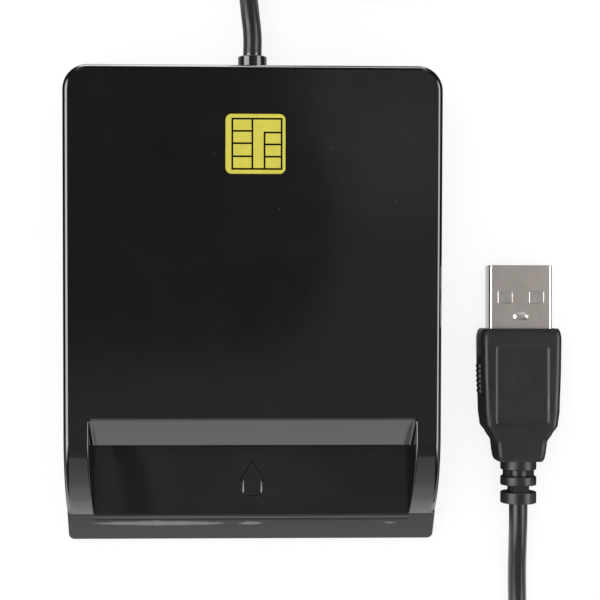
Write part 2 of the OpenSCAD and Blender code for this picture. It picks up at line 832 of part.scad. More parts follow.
// Flat chip package with a round mark in one corner
module controller_chip() {
    chip_w = 6;
    chip_t = 0.9;
    mark_r = 0.4;
    mark_d = 0.1;
    x = 2 * chip_w - guide_x;
    y = board_front_y + chip_w;
    color("#151517") difference() {
        box(x - chip_w / 2, x + chip_w / 2, y - chip_w / 2, y + chip_w / 2,
            board_top_z, board_top_z + chip_t);
        post([x - chip_w / 2 + 2 * mark_r, y + chip_w / 2 - 2 * mark_r], mark_r,
            board_top_z + chip_t - mark_d, board_top_z + chip_t + over);
    }
}

// Ceramic case with a thinner metal lid on top
module clock_crystal() {
    case_w = 3.2;
    case_l = 5;
    case_t = 0.8;
    lid_t = 0.25;
    lid_edge = 0.3;
    x = case_l - guide_x;
    y = board_front_y + case_l;
    color("#c8c4b4") {
        box(x - case_w / 2, x + case_w / 2, y - case_l / 2, y + case_l / 2,
            board_top_z, board_top_z + case_t);
        box(x - case_w / 2 + lid_edge, x + case_w / 2 - lid_edge,
            y - case_l / 2 + lid_edge, y + case_l / 2 - lid_edge,
            board_top_z + case_t, board_top_z + case_t + lid_t);
    }
}

// Small three-legged package
module voltage_regulator() {
    case_w = 2.9;
    case_l = 1.6;
    case_t = 1.1;
    leg_w = 0.45;
    leg_l = 0.6;
    leg_t = 0.15;
    x = tongue_x + case_w;
    y = board_rear_y - 2 * case_l;
    color("#1a1a1c") {
        box(x - case_w / 2, x + case_w / 2, y - case_l / 2, y + case_l / 2,
            board_top_z, board_top_z + case_t);
        for (i = [-1:1]) {
            end = i == 0 ? y + case_l / 2 : y - case_l / 2 - leg_l;
            box(x + i * 2 * leg_w - leg_w / 2, x + i * 2 * leg_w + leg_w / 2,
                end, end + leg_l, board_top_z, board_top_z + leg_t);
        }
    }
}

// Two rows of chip capacitors and resistors
module board_passives() {
    part_w = 0.6;
    part_l = 1.2;
    part_t = 0.5;
    columns = 6;
    rows = 2;
    x0 = board_x / 4;
    y0 = board_front_y + 2 * part_l;
    color("#b59a6a") for (i = [0:columns - 1], j = [0:rows - 1]) {
        x = x0 + i * 3 * part_w;
        y = y0 + j * 3 * part_l;
        box(x, x + part_w, y, y + part_l, board_top_z, board_top_z + part_t);
    }
}

wire_count = 4;
wire_r = 0.4;
wire_pitch = 1.5;
wire_z = board_z - header_h / 2;
function wire_x(i) = (i - (wire_count - 1) / 2) * wire_pitch;

// Socket under the board's tongue, with a hole for each wire
module wire_header() {
    hole_l = header_l / 2;
    color("#e8e4d8") difference() {
        box(-header_w / 2, header_w / 2, header_y, header_y + header_l, board_z - header_h, board_z);
        for (i = [0:wire_count - 1]) {
            rod_y(wire_r + screw_gap, wire_x(i), wire_z, header_y + hole_l,
                header_y + header_l + over);
        }
    }
}

// Rings of a round tube along a path that never runs upright
function tube_rings(path, r, sides) =
    let (last = len(path) - 1,
        way = [for (i = [0:last - 1]) (path[i + 1] - path[i]) / norm(path[i + 1] - path[i])],
        along = [for (i = [0:last])
            let (d = way[max(i - 1, 0)] + way[min(i, last - 1)]) d / norm(d)])
    [for (i = [0:last])
        let (right = cross([0, 0, 1], along[i]) / norm(cross([0, 0, 1], along[i])),
            up = cross(along[i], right))
        [for (k = [0:sides - 1])
            let (a = 360 * k / sides) path[i] + r * (cos(a) * right + sin(a) * up)]];

module tube(path, r, sides) {
    loft(tube_rings(path, r, sides));
}

// Four wires that fan out from the cable's end to the header
module lead_wires() {
    wire_sides = 8;
    steps = 6;
    // Place of each wire beside the cable's axis, where the jacket ends
    bundle_share = 0.43;
    bundle = cord_r * bundle_share;
    face_y = header_y + header_l;
    end_y = face_y - header_l / 2 + wire_r;
    color("#b33a32") for (i = [0:wire_count - 1]) {
        from = [(i % 2 == 0 ? -1 : 1) * bundle, gland_z + (i < 2 ? 1 : -1) * bundle];
        to = [wire_x(i % 2 == 0 ? i / 2 : (i + wire_count - 1) / 2), wire_z];
        bend = [for (k = [0:steps])
            let (t = k / steps, s = t * t * (3 - 2 * t),
                y = stub_y - wire_r + (face_y + 2 * wire_r - stub_y) * t)
            [from[0] + (to[0] - from[0]) * s, y, from[1] + (to[1] - from[1]) * s]];
        tube(concat([[from[0], stub_y, from[1]]], bend, [[to[0], end_y, to[1]]]),
            wire_r, wire_sides);
    }
}

// A screw that points up, with a flat head and a cross slot underneath
module screw(r, head_r, head_t, length) {
    drive_share = 0.7;
    difference() {
        union() {
            cylinder(r = head_r, h = head_t);
            cylinder(r = r, h = head_t + length);
        }
        for (turn = [0, 90]) {
            rotate([0, 0, turn])
                box(-head_r * drive_share, head_r * drive_share,
                    -drive_w / 2, drive_w / 2, -over, drive_d);
        }
    }
}

module board_screws() {
    color("#b8b8bc") for (place = board_post_places) {
        translate([place[0], place[1], board_top_z + board_head_t]) rotate([180, 0, 0])
            screw(board_screw_r, board_head_r, board_head_t, board_top_z - board_screw_low_z);
    }
}

module case_screws() {
    color("#8c8c90") for (place = case_screw_places) {
        translate([place[0], place[1], head_z])
            screw(case_screw_r, case_head_r, case_head_t, case_screw_top_z - head_top_z);
    }
}

module rubber_feet() {
    foot_h = pad_h + pad_sunk;
    soft_r = pad_h / 2;
    color("#262628") for (place = pad_places) {
        translate([place[0], place[1], 0]) rotate_extrude()
            polygon([[0, 0], [pad_r - soft_r, 0], [pad_r, soft_r], [pad_r, foot_h], [0, foot_h]]);
    }
}

// Moulded gland: a flange inside, a neck in the rear wall and a smooth barrel outside
module cable_gland() {
    end_r = 0.6;
    first_y = rear_y + gland_gap;
    barrel_end = [for (i = [0:edge_steps]) let (a = 90 * i / edge_steps)
        [gland_r - end_r + end_r * cos(a), gland_end_y - end_r + end_r * sin(a)]];
    profile = concat([[0, stub_y], [cord_r, stub_y], [cord_r, gland_inner_y],
        [gland_flange_r, gland_inner_y], [gland_flange_r, gland_flange_y],
        [gland_neck_r, gland_flange_y], [gland_neck_r, first_y], [gland_r, first_y]],
        barrel_end, [[0, gland_end_y]]);
    color("#19191b") translate([0, 0, gland_z]) rotate([-90, 0, 0]) rotate_extrude()
        polygon(profile);
}

module cable_lead_out() {
    color("#1a1a1c") tube(lead_out_route, cord_r, lead_sides);
}

module cable_lead_in() {
    color("#1a1a1c") tube(lead_in_route, cord_r, lead_sides);
}

// Place on the coil after u turns, going clockwise
function coil_point(u) =
    let (a = coil_in_a - 360 * u,
        r = coil_r - coil_pitch * min(u, coil_turns - u),
        climb = (u - (coil_turns - climb_turns) / 2) / climb_turns,
        rise = max(0, min(1, climb)))
    [coil_mid[0] + r * cos(a), coil_mid[1] + r * sin(a),
        coil_z + coil_pitch * rise * rise * (3 - 2 * rise)];
function coil_way(u) = let (a = coil_in_a - 360 * u) [sin(a), -cos(a), 0];
coil_rings = rings_per_turn * coil_turns;
coil_points = [for (k = [0:coil_rings]) coil_point(k / rings_per_turn)];
coil_path = concat([coil_points[0] - cord_d * coil_way(0)], coil_points,
    [coil_points[coil_rings] + cord_d * coil_way(coil_turns)]);

// Least gap between the tube's neighbouring loops, measured on the points of its axis
coil_least = min([for (i = [0:coil_rings]) for (j = [i + rings_per_turn / 2:coil_rings])
    norm(coil_points[j] - coil_points[i])]) - cord_d;
echo(coil_least_gap = coil_least);

module cable_coil() {
    color("#1a1a1c") tube(coil_path, cord_r, coil_sides);
}

// Flat tie round the loops, where the layers lie one above the other
module coil_tie() {
    tie_turn = 0.125;
    inner_loops = 2;
    outer_r = coil_r - coil_pitch * tie_turn + cord_r + tie_side_clear;
    inner_r = coil_r - coil_pitch * (tie_turn + inner_loops) - cord_r - tie_side_clear;
    hole_w = outer_r - inner_r;
    hole_h = coil_pitch + cord_d + 2 * tie_clear;
    color("#2c2c30")
        translate([coil_mid[0], coil_mid[1], coil_z + coil_pitch / 2])
            rotate([0, 0, coil_in_a - 360 * tie_turn])
                translate([(inner_r + outer_r) / 2, tie_w / 2, 0])
                    rotate([90, 0, 0]) linear_extrude(tie_w) difference() {
                        rounded_square(hole_w + 2 * tie_t, hole_h + 2 * tie_t, 3 * tie_t);
                        rounded_square(hole_w, hole_h, 2 * tie_t);
                    }
}

// Outline of the grip across the plug, with rounded corners
function grip_ring(y, w, t, r) =
    [for (corner = [[1, -1, 270], [1, 1, 0], [-1, 1, 90], [-1, -1, 180]])
        for (i = [0:edge_steps])
        let (a = corner[2] + 90 * i / edge_steps)
        [corner[0] * (w / 2 - r) + r * cos(a), y, corner[1] * (t / 2 - r) + r * sin(a)]];

// Stations of the grip from its front: share of its length, of its width and of its height
neck_share = neck_w / grip_w;
grip_shares = [[0, 0.93, 0.88], [0.025, 0.98, 0.96], [0.07, 1, 1], [0.3, 0.99, 1],
    [0.62, 0.955, 1], [0.73, 0.91, 1], [0.79, 1.29 * neck_share, 0.97],
    [0.85, 1.11 * neck_share, 0.93], [0.91, 1.03 * neck_share, 0.9],
    [0.975, neck_share, 0.88], [1, 0.93 * neck_share, 0.82]];
grip_round = 2.2;

module plug_grip() {
    panel_w = 9.4;
    panel_l = 14.4;
    panel_front = 3.4;
    rib_r = 0.32;
    rib_l = 3.2;
    rib_pitch = 0.95;
    rib_front = 7.2;
    // Share of the grip's half width where the ribs stand
    rib_share = 0.955;
    web_w = 3;
    web_share = 0.8;
    ring_share = 0.21;
    gap_share = 0.155;
    ring_l = relief_l * ring_share;
    gap_l = relief_l * gap_share;
    color("#2d2d31") translate([plug_x, 0, plug_z]) {
        difference() {
            loft([for (s = grip_shares)
                grip_ring(grip_front_y - grip_l * s[0], grip_w * s[1], grip_t * s[2], grip_round)]);
            box(-shell_w / 2 - fit_gap, shell_w / 2 + fit_gap, grip_front_y - shell_in,
                grip_front_y + over, -shell_h / 2 - fit_gap, shell_h / 2 + fit_gap);
            box(-core_w / 2 - fit_gap, core_w / 2 + fit_gap,
                grip_front_y - shell_in - core_l, grip_front_y,
                -shell_h / 2 - fit_gap, shell_h / 2 + fit_gap);
            for (side = [-1, 1]) {
                face = side * grip_t / 2;
                box(-panel_w / 2, panel_w / 2, grip_front_y - panel_front - panel_l,
                    grip_front_y - panel_front, min(face - side * panel_d, face + side * over),
                    max(face - side * panel_d, face + side * over));
            }
        }
        for (side = [-1, 1], i = [0:rib_count - 1]) {
            translate([side * grip_w / 2 * rib_share, grip_front_y - rib_front - i * rib_pitch,
                -rib_l / 2])
                cylinder(r = 2 * rib_r, h = rib_l);
        }
        rod_y(cord_r + rib_r, 0, 0, plug_tail_y, grip_rear_y + rib_r);
        for (i = [0:2]) {
            y = grip_rear_y - i * (ring_l + gap_l);
            rod_y(relief_r, 0, 0, i == 2 ? plug_tail_y : y - ring_l, i == 0 ? y + rib_r : y);
        }
        for (i = [0:1]) {
            y = grip_rear_y - ring_l - i * (ring_l + gap_l);
            wide = i == 0 ? relief_r * web_share : web_w / 2;
            tall = i == 0 ? web_w / 2 : relief_r * web_share;
            box(-wide, wide, y - gap_l - rib_r, y + rib_r, -tall, tall);
        }
    }
}

core_w = 9;
core_l = 9;
core_share = 0.8;

// Inner moulding round the soldered wires, sealed in the grip
module plug_core() {
    y = grip_front_y - shell_in;
    color("#d9d6cc") translate([plug_x, 0, plug_z]) {
        box(-core_w / 2, core_w / 2, y - core_l, y, -shell_h / 2 * core_share,
            shell_h / 2 * core_share);
    }
}

// Places of the two windows in each broad face of the shell
window_w = 2.6;
window_l = 2.3;
window_x = 3;
window_back = 4.9;

module plug_shell() {
    back_y = grip_front_y - shell_in;
    dimple_r = 0.8;
    dimple_back = 9.7;
    dimple_half = 0.8;
    color("#c4c2c0") translate([plug_x, 0, plug_z]) difference() {
        rotate([-90, 0, 0]) translate([0, 0, back_y])
            linear_extrude(plug_tip_y - back_y) rounded_square(shell_w, shell_h, 2 * shell_t);
        rotate([-90, 0, 0]) translate([0, 0, back_y - over])
            linear_extrude(plug_tip_y - back_y + 2 * over)
                rounded_square(shell_w - 2 * shell_t, shell_h - 2 * shell_t, shell_t);
        for (side = [-1, 1]) {
            box(side * window_x - window_w / 2, side * window_x + window_w / 2,
                plug_tip_y - window_back - window_l, plug_tip_y - window_back, -shell_h, shell_h);
        }
        for (i = [-1, 1]) {
            translate([i * dimple_half, plug_tip_y - dimple_back, shell_h / 2 - shell_t / 2])
                cylinder(r = dimple_r, h = over);
        }
        box(-dimple_half, dimple_half, plug_tip_y - dimple_back - dimple_r,
            plug_tip_y - dimple_back + dimple_r, shell_h / 2 - shell_t / 2, shell_h);
    }
}

insert_w = shell_w - 2 * shell_t - 2 * fit_gap;
insert_top = shell_h / 2 - shell_t - fit_gap;
tongue_t = 1.9;
tip_inset = 0.4;

// Insulator: a block at the back of the shell with the tongue along its upper half
module plug_insert() {
    back_y = grip_front_y - shell_in + fit_gap;
    block_l = 3.5;
    tip_y = plug_tip_y - tip_inset;
    color("#c9c8c0") translate([plug_x, 0, plug_z]) intersection() {
        union() {
            box(-insert_w, insert_w, back_y, back_y + block_l, -insert_w, insert_w);
            box(-insert_w, insert_w, back_y, tip_y, insert_top - tongue_t, insert_w);
        }
        rotate([-90, 0, 0]) translate([0, 0, back_y]) linear_extrude(tip_y - back_y)
            rounded_square(insert_w, 2 * insert_top, shell_t);
    }
}

// Four gold strips on the tongue, the outer pair longer than the inner pair
module plug_contacts() {
    strip_t = 0.2;
    strip_w = 1;
    outer_x = 3.5;
    mid_x = 1;
    long_l = 7.4;
    short_l = 6.4;
    root_y = plug_tip_y - shell_out + strip_w;
    color("#d9b45c") translate([plug_x, 0, plug_z]) for (side = [-1, 1], row = [0, 1]) {
        x = side * (row == 0 ? outer_x : mid_x);
        length = row == 0 ? long_l : short_l;
        box(x - strip_w / 2, x + strip_w / 2, root_y, root_y + length,
            insert_top - tongue_t - strip_t, insert_top - tongue_t);
    }
}

top_cover();
base_cover();
chip_emblem();
circuit_board();
card_connector();
connector_feet();
contact_springs_front();
contact_springs_rear();
card_switch();
card_switch_lever();
controller_chip();
clock_crystal();
voltage_regulator();
board_passives();
wire_header();
lead_wires();
board_screws();
case_screws();
rubber_feet();
cable_gland();
cable_lead_out();
cable_coil();
coil_tie();
cable_lead_in();
plug_grip();
plug_core();
plug_shell();
plug_insert();
plug_contacts();
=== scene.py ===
import math

import bmesh
import bpy
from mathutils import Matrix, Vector


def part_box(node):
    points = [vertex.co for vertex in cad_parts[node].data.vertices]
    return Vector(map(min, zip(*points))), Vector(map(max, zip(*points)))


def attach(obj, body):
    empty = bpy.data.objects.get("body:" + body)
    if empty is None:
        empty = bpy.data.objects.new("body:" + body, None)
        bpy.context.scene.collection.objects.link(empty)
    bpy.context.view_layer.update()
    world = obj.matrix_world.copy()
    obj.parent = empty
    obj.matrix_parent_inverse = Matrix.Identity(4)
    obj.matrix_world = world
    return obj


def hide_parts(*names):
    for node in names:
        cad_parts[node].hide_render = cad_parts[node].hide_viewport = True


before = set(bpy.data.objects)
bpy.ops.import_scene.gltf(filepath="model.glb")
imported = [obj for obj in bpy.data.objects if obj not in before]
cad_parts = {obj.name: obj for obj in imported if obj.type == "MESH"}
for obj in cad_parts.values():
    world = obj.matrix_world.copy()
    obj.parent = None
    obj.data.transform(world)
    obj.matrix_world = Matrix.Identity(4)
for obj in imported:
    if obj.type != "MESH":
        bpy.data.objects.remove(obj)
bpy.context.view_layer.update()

# The camera looks straight down on the reader from a quarter of a metre up.
# It stands a little left of the case's middle, so the right wall of the mouth shows.
mm = 0.001


def place_object(name, data):
    placed = bpy.data.objects.new(name, data)
    bpy.context.scene.collection.objects.link(placed)
    return placed


lens = bpy.data.cameras.new("camera")
lens.sensor_width = 36
lens.lens = 82.7
lens.shift_x = 0.07
lens.clip_start = 10 * mm
camera = place_object("camera", lens)
camera.location = (-6.72 * mm, 0.72 * mm, 265.97 * mm)
camera.rotation_euler = (math.radians(0.091), math.radians(-1.729), math.radians(0.075))
bpy.context.scene.camera = camera
bpy.context.scene.view_settings.view_transform = "Standard"

# The captive cable is a round four-core lead in a soft black jacket.
# It leaves the gland, is wound into a flat coil behind the case for the shelf,
# comes round the right-hand side and ends in the plug.
cord_d = 3.5 * mm
coil_mid = (22 * mm, 88 * mm)
coil_r = 25 * mm
coil_pitch = 4 * mm
coil_low_z = 2.25 * mm
coil_turns = 5.25
climb_turns = 0.5
points_per_turn = 16
lead_out = [(0, 47.5, 6.2), (0, 51, 6.2), (-0.4, 55, 5.9), (-1, 61, 4.8), (-1.8, 68, 3.4),
            (-2.6, 75, 2.5), (-3, 81, 2.25), (-3, 84.5, 2.25)]
lead_in = [(25.5, 113, 6.25), (29, 113, 6.25), (37, 113, 5.4), (46, 113, 3.6), (55, 113, 2.2),
           (64, 113, 1.75), (69.7, 111.9, 1.75), (74.6, 108.6, 1.75), (77.9, 103.7, 1.75),
           (79, 98, 1.75), (79, 88, 1.75), (79, 48, 1.75), (79, 8, 1.75), (79, -32, 1.75),
           (79, -52, 1.75), (79, -61, 1.75), (77.9, -66.4, 1.75), (74.9, -70.9, 1.75),
           (70.4, -73.9, 1.75), (65, -75, 1.75), (59.6, -73.9, 1.75), (55.1, -70.9, 1.75),
           (52.2, -66.4, 1.75), (51.4, -61, 1.75), (51.3, -56, 1.8), (51.1, -50, 2.6),
           (51, -45, 3.6), (51, -41, 4), (51, -37.5, 4)]


def coil_point(turn):
    angle = math.pi - 2 * math.pi * turn
    radius = coil_r - coil_pitch * min(turn, coil_turns - turn)
    rise = min(1, max(0, (turn - (coil_turns - climb_turns) / 2) / climb_turns))
    height = coil_low_z + coil_pitch * rise * rise * (3 - 2 * rise)
    return Vector((coil_mid[0] + radius * math.cos(angle),
                   coil_mid[1] + radius * math.sin(angle), height))


def lead_route():
    """The whole run from the gland to the plug. The points of both leads are in millimetres."""
    turns = [coil_point(k / points_per_turn)
             for k in range(int(coil_turns * points_per_turn) + 1)]
    return [Vector(p) * mm for p in lead_out] + turns + [Vector(p) * mm for p in lead_in]


def lay_cord(name, route, diameter):
    line = bpy.data.curves.new(name, "CURVE")
    line.dimensions = "3D"
    line.bevel_depth = diameter / 2
    line.bevel_resolution = 6
    line.resolution_u = 10
    line.use_fill_caps = True
    spline = line.splines.new("BEZIER")
    spline.bezier_points.add(len(route) - 1)
    for knot, place in zip(spline.bezier_points, route):
        knot.co = place
        knot.handle_left_type = "AUTO"
        knot.handle_right_type = "AUTO"
    return place_object(name, line)


def add_node(kind, inputs, tree=None, **settings):
    """A shader node with its inputs set or joined, in the tree that the first of them is in."""
    tree = tree or next(iter(inputs.values())).id_data
    made = tree.nodes.new("ShaderNode" + kind)
    for key, value in settings.items():
        setattr(made, key, value)
    for key, value in inputs.items():
        if isinstance(value, bpy.types.NodeSocket):
            tree.links.new(value, made.inputs[key])
        else:
            made.inputs[key].default_value = value
    return made


def feed(shader, name, value):
    shader.id_data.links.new(value, shader.inputs[name])


def new_finish(name):
    finish = bpy.data.materials.new(name)
    finish.use_nodes = True
    shader = finish.node_tree.nodes["Principled BSDF"]
    place = add_node("TexCoord", {}, finish.node_tree).outputs["Object"]
    return finish, shader, place


def drift(place, size, low, high, detail=3.0):
    """A soft random value between low and high that changes over about that size."""
    least, most = 0.3, 0.7
    noise = add_node("TexNoise", {"Vector": place, "Scale": 1 / size, "Detail": detail})
    return add_node("MapRange",
                    {"Value": noise.outputs["Fac"], "From Min": least, "From Max": most,
                     "To Min": low, "To Max": high}).outputs["Result"]


def mixed(amount, one, two):
    """One colour that turns into the other as the amount goes from 0 to 1."""
    return add_node("Mix", {"Factor": amount, 6: one, 7: two}, data_type="RGBA").outputs[2]


def tinted(amount, colour, spread):
    """The colour made darker and lighter by the spread as the amount goes from 0 to 1."""
    dark = [c * (1 - spread) for c in colour] + [1]
    light = [min(1, c * (1 + spread)) for c in colour] + [1]
    return mixed(amount, dark, light)


def raise_grain(shader, height, distance, strength=1.0):
    """Tilts the shading as if the height, from 0 to 1, stood out by the distance."""
    bump = add_node("Bump", {"Height": height, "Distance": distance, "Strength": strength})
    feed(shader, "Normal", bump.outputs["Normal"])


def moulded(name, colour, roughness, grain=0.4 * mm, depth=0.01 * mm, spread=0.12, index=1.45):
    """Plastic or rubber out of a mould with an even fine grain."""
    finish, shader, place = new_finish(name)
    feed(shader, "Base Color", tinted(drift(place, 6 * grain, 0, 1), colour, spread))
    feed(shader, "Roughness", drift(place, 10 * grain, roughness * 0.85, roughness * 1.15))
    shader.inputs["IOR"].default_value = index
    raise_grain(shader, drift(place, grain, 0, 1), depth)
    return finish


cord = lay_cord("cable", lead_route(), cord_d)
cord.data.materials.append(moulded("soft_black_jacket", (0.013, 0.013, 0.0135), 0.34, 0.5 * mm,
                                   0.001 * mm, index=1.4))
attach(cord, "case")
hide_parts("cable_lead_out", "cable_coil", "cable_lead_in")

# The base is one moulding in gloss black: tray, mouth floor, front lip and the guides inside.
# Its floor carries the plain arrow that shows which way a card goes in,
# and its top edge stops a hair short of the upper half.
base_low, base_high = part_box("base_cover")
rear_y = base_high.y
front_y = base_low.y
base_z = base_low.z
half_w = base_high.x
top_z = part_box("top_cover")[1].z
case_l = rear_y - front_y
front_taper = 0.4 * mm
wall = 1.6 * mm
rear_corner_r = 4.6 * mm
front_corner_r = 1 * mm
bottom_r = 0.6 * mm
parting_z = 6.2 * mm
floor_z = 6 * mm
bottom_t = 1.5 * mm
inside_z = base_z + bottom_t
gland_z = 6.2 * mm
inner_x = half_w - front_taper - wall
corner_steps = 12
overrun = 3 * mm
mouth_x = 29.62 * mm
crease_y = front_y + 5.2 * mm
lip_top_tilt = 29
lip_end_tilt = 33
slot_y = front_y + 18.3 * mm
stop_y = rear_y - 13 * mm
card_half_w = 27.29 * mm
guide_top_z = 6.96 * mm
board_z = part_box("circuit_board")[0].z
rear_screw_x = 18 * mm
front_screw_x = 30.99 * mm
screw_head_r = 2 * mm
rear_screw_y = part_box("case_screws")[1].y - screw_head_r
front_screw_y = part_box("case_screws")[0].y + screw_head_r
screw_places = [(side * x, y) for side in (-1, 1)
                for x, y in ((rear_screw_x, rear_screw_y), (front_screw_x, front_screw_y))]
board_screw_r = 1.7 * mm
board_low, board_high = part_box("board_screws")
board_posts = [(side * (board_high.x - board_screw_r), y) for side in (-1, 1)
               for y in (board_low.y + board_screw_r, board_high.y - board_screw_r)]


def side_x(y):
    return half_w - front_taper * (rear_y - y) / case_l


def place_solid(name, corners, faces):
    mesh = bpy.data.meshes.new(name)
    mesh.from_pydata([tuple(c) for c in corners], [], faces)
    work = bmesh.new()
    work.from_mesh(mesh)
    bmesh.ops.remove_doubles(work, verts=work.verts, dist=mm / 1000)
    bmesh.ops.recalc_face_normals(work, faces=work.faces)
    work.to_mesh(mesh)
    work.free()
    return place_object(name, mesh)


def prism_along_x(name, x0, x1, profile):
    """A side profile of (y, z) drawn out from x0 to x1."""
    count = len(profile)
    corners = [(x, y, z) for x in (x0, x1) for y, z in profile]
    faces = [list(range(count)), list(range(2 * count - 1, count - 1, -1))]
    faces += [[i, (i + 1) % count, (i + 1) % count + count, i + count] for i in range(count)]
    return place_solid(name, corners, faces)


def block(name, x0, x1, y0, y1, z0, z1):
    return prism_along_x(name, x0, x1, [(y0, z0), (y1, z0), (y1, z1), (y0, z1)])


def turned(name, profile, centre, axis="Z", sides=40):
    """A profile of (radius, place along the axis) spun round it. It starts and ends at radius 0."""
    corners = []
    rings = []
    for radius, along in profile:
        count = sides if radius > 0 else 1
        rings.append(range(len(corners), len(corners) + count))
        for k in range(count):
            a = 2 * math.pi * k / sides
            u, v = radius * math.cos(a), radius * math.sin(a)
            corners.append((u, v, along) if axis == "Z" else (u, along, v))
    faces = []
    for one, two in zip(rings, rings[1:]):
        for k in range(sides):
            n = (k + 1) % sides
            ring = [one[k % len(one)], one[n % len(one)], two[n % len(two)], two[k % len(two)]]
            faces.append(list(dict.fromkeys(ring)))
    return place_solid(name, [Vector(c) + Vector(centre) for c in corners], faces)


def rod(name, radius, low, high, centre, axis="Z"):
    return turned(name, [(0, low), (radius, low), (radius, high), (0, high)], centre, axis)


def skinned(name, rings):
    """A closed solid over rings of equal length, with a flat cap at each end."""
    count = len(rings[0])
    faces = [list(range(count)), list(range(count * (len(rings) - 1), count * len(rings)))]
    for row in range(0, count * (len(rings) - 1), count):
        for i in range(count):
            j = (i + 1) % count
            faces.append([row + i, row + j, row + count + j, row + count + i])
    return place_solid(name, [corner for ring in rings for corner in ring], faces)


def finished_mesh(piece):
    graph = bpy.context.evaluated_depsgraph_get()
    return bpy.data.meshes.new_from_object(piece.evaluated_get(graph))


def settle(piece):
    """Makes the piece's modifiers part of its mesh."""
    mesh = finished_mesh(piece)
    piece.modifiers.clear()
    piece.data = mesh


def combine(piece, tool, operation):
    step = piece.modifiers.new(operation, "BOOLEAN")
    step.operation = operation
    step.solver = "EXACT"
    step.object = tool
    settle(piece)
    bpy.data.objects.remove(tool)


def cut(piece, tool):
    combine(piece, tool, "DIFFERENCE")


def fuse(piece, tool):
    combine(piece, tool, "UNION")


def ease_edges(piece, width, segments=2, angle=40):
    step = piece.modifiers.new("ease", "BEVEL")
    step.width = width
    step.segments = segments
    step.limit_method = "ANGLE"
    step.angle_limit = math.radians(angle)
    step.use_clamp_overlap = True
    settle(piece)


def true_shading(piece, angle=35):
    """Curved faces shade smoothly and flat ones stay flat up to their edges."""
    mesh = piece.data
    mesh.polygons.foreach_set("use_smooth", [True] * len(mesh.polygons))
    mesh.set_sharp_from_angle(angle=math.radians(angle))
    step = piece.modifiers.new("flat_faces", "WEIGHTED_NORMAL")
    step.keep_sharp = True
    settle(piece)


def quarter_turn(steps):
    """The cosine and sine at each step of a quarter turn, from (1, 0) to (0, 1)."""
    angles = [math.pi / 2 * k / steps for k in range(steps + 1)]
    return [(math.cos(a), math.sin(a)) for a in angles]


def with_left(right):
    """The right half of a plan of (place, way out), followed by its mirror image."""
    return right + [(Vector((-p.x, p.y)), Vector((-n.x, n.y))) for p, n in reversed(right)]


def rounded(middle, radius, ways):
    """A round corner of a plan, as places with their ways out."""
    return [(middle + radius * out, out) for out in map(Vector, ways)]


def rear_corner():
    """The right rear corner, which is the same in both halves of the case."""
    middle = Vector((side_x(rear_y) - rear_corner_r, rear_y - rear_corner_r))
    return rounded(middle, rear_corner_r, quarter_turn(corner_steps))


def base_plan():
    """Plan of the base from the front round the right side to the rear, then back on the left."""
    middle = Vector((side_x(front_y) - front_corner_r, front_y + front_corner_r))
    ways = [(sine, -cosine) for cosine, sine in quarter_turn(corner_steps)]
    return with_left(rounded(middle, front_corner_r, ways) + rear_corner())


def base_block():
    """The outside of the base, rounded at the bottom and still too high."""
    plan = base_plan()
    levels = [(bottom_r * (1 - sine), base_z + bottom_r * (1 - cosine))
              for cosine, sine in quarter_turn(6)]
    levels.append((0, parting_z + overrun))
    return skinned("base_shell", [[(p.x - n.x * inset, p.y - n.y * inset, z) for p, n in plan]
                                  for inset, z in levels])


def lip_curve():
    """The lip falls from the parting line and steepens a little on the way down."""
    steps = 24
    step = (crease_y - front_y + overrun) / steps
    y, z = crease_y, parting_z
    points = [(y, z)]
    for k in range(steps):
        along = (crease_y - y + step / 2) / (crease_y - front_y)
        tilt = lip_top_tilt + (lip_end_tilt - lip_top_tilt) * along
        y -= step
        z -= step * math.tan(math.radians(tilt))
        points.append((y, z))
    return points


def shape_lip(base):
    """Cuts the base down to the parting line and slopes the front lip."""
    wide = half_w + overrun
    curve = lip_curve()
    cut(base, prism_along_x("over_base", -wide, wide, [
        (curve[-1][0], top_z), (rear_y + overrun, top_z), (rear_y + overrun, parting_z)] + curve))


def shape_mouth_floor(base):
    """Sinks the mouth's floor and rolls its front edge steeply into the lip."""
    roll_r = 1.15 * mm
    roll_end = 54
    return_tilt = 12
    return_run = 1.2 * mm
    steps = 10
    roll = []
    for k in range(steps + 1):
        a = math.radians(roll_end * k / steps)
        roll.append((crease_y - roll_r * math.sin(a), floor_z - roll_r * (1 - math.cos(a))))
    end_y, end_z = roll[-1]
    out = (end_y - return_run, end_z - return_run * math.tan(math.radians(return_tilt)))
    behind = slot_y + 2 * mm
    cut(base, prism_along_x("over_floor", -mouth_x, mouth_x,
                            [(behind, top_z), (behind, floor_z)] + roll
                            + [out, (out[0], top_z)]))


def hollow_tray(base):
    """Leaves the walls, the bottom and the plate that carries the mouth's floor."""
    plate_z = floor_z - 1.4 * mm
    plate_y = slot_y + 1.2 * mm
    rear = rear_y - wall
    fore = crease_y + 1 * mm
    cut(base, prism_along_x("tray", -inner_x, inner_x, [
        (fore, inside_z), (rear, inside_z), (rear, top_z), (plate_y, top_z),
        (plate_y, plate_z), (fore, plate_z)]))


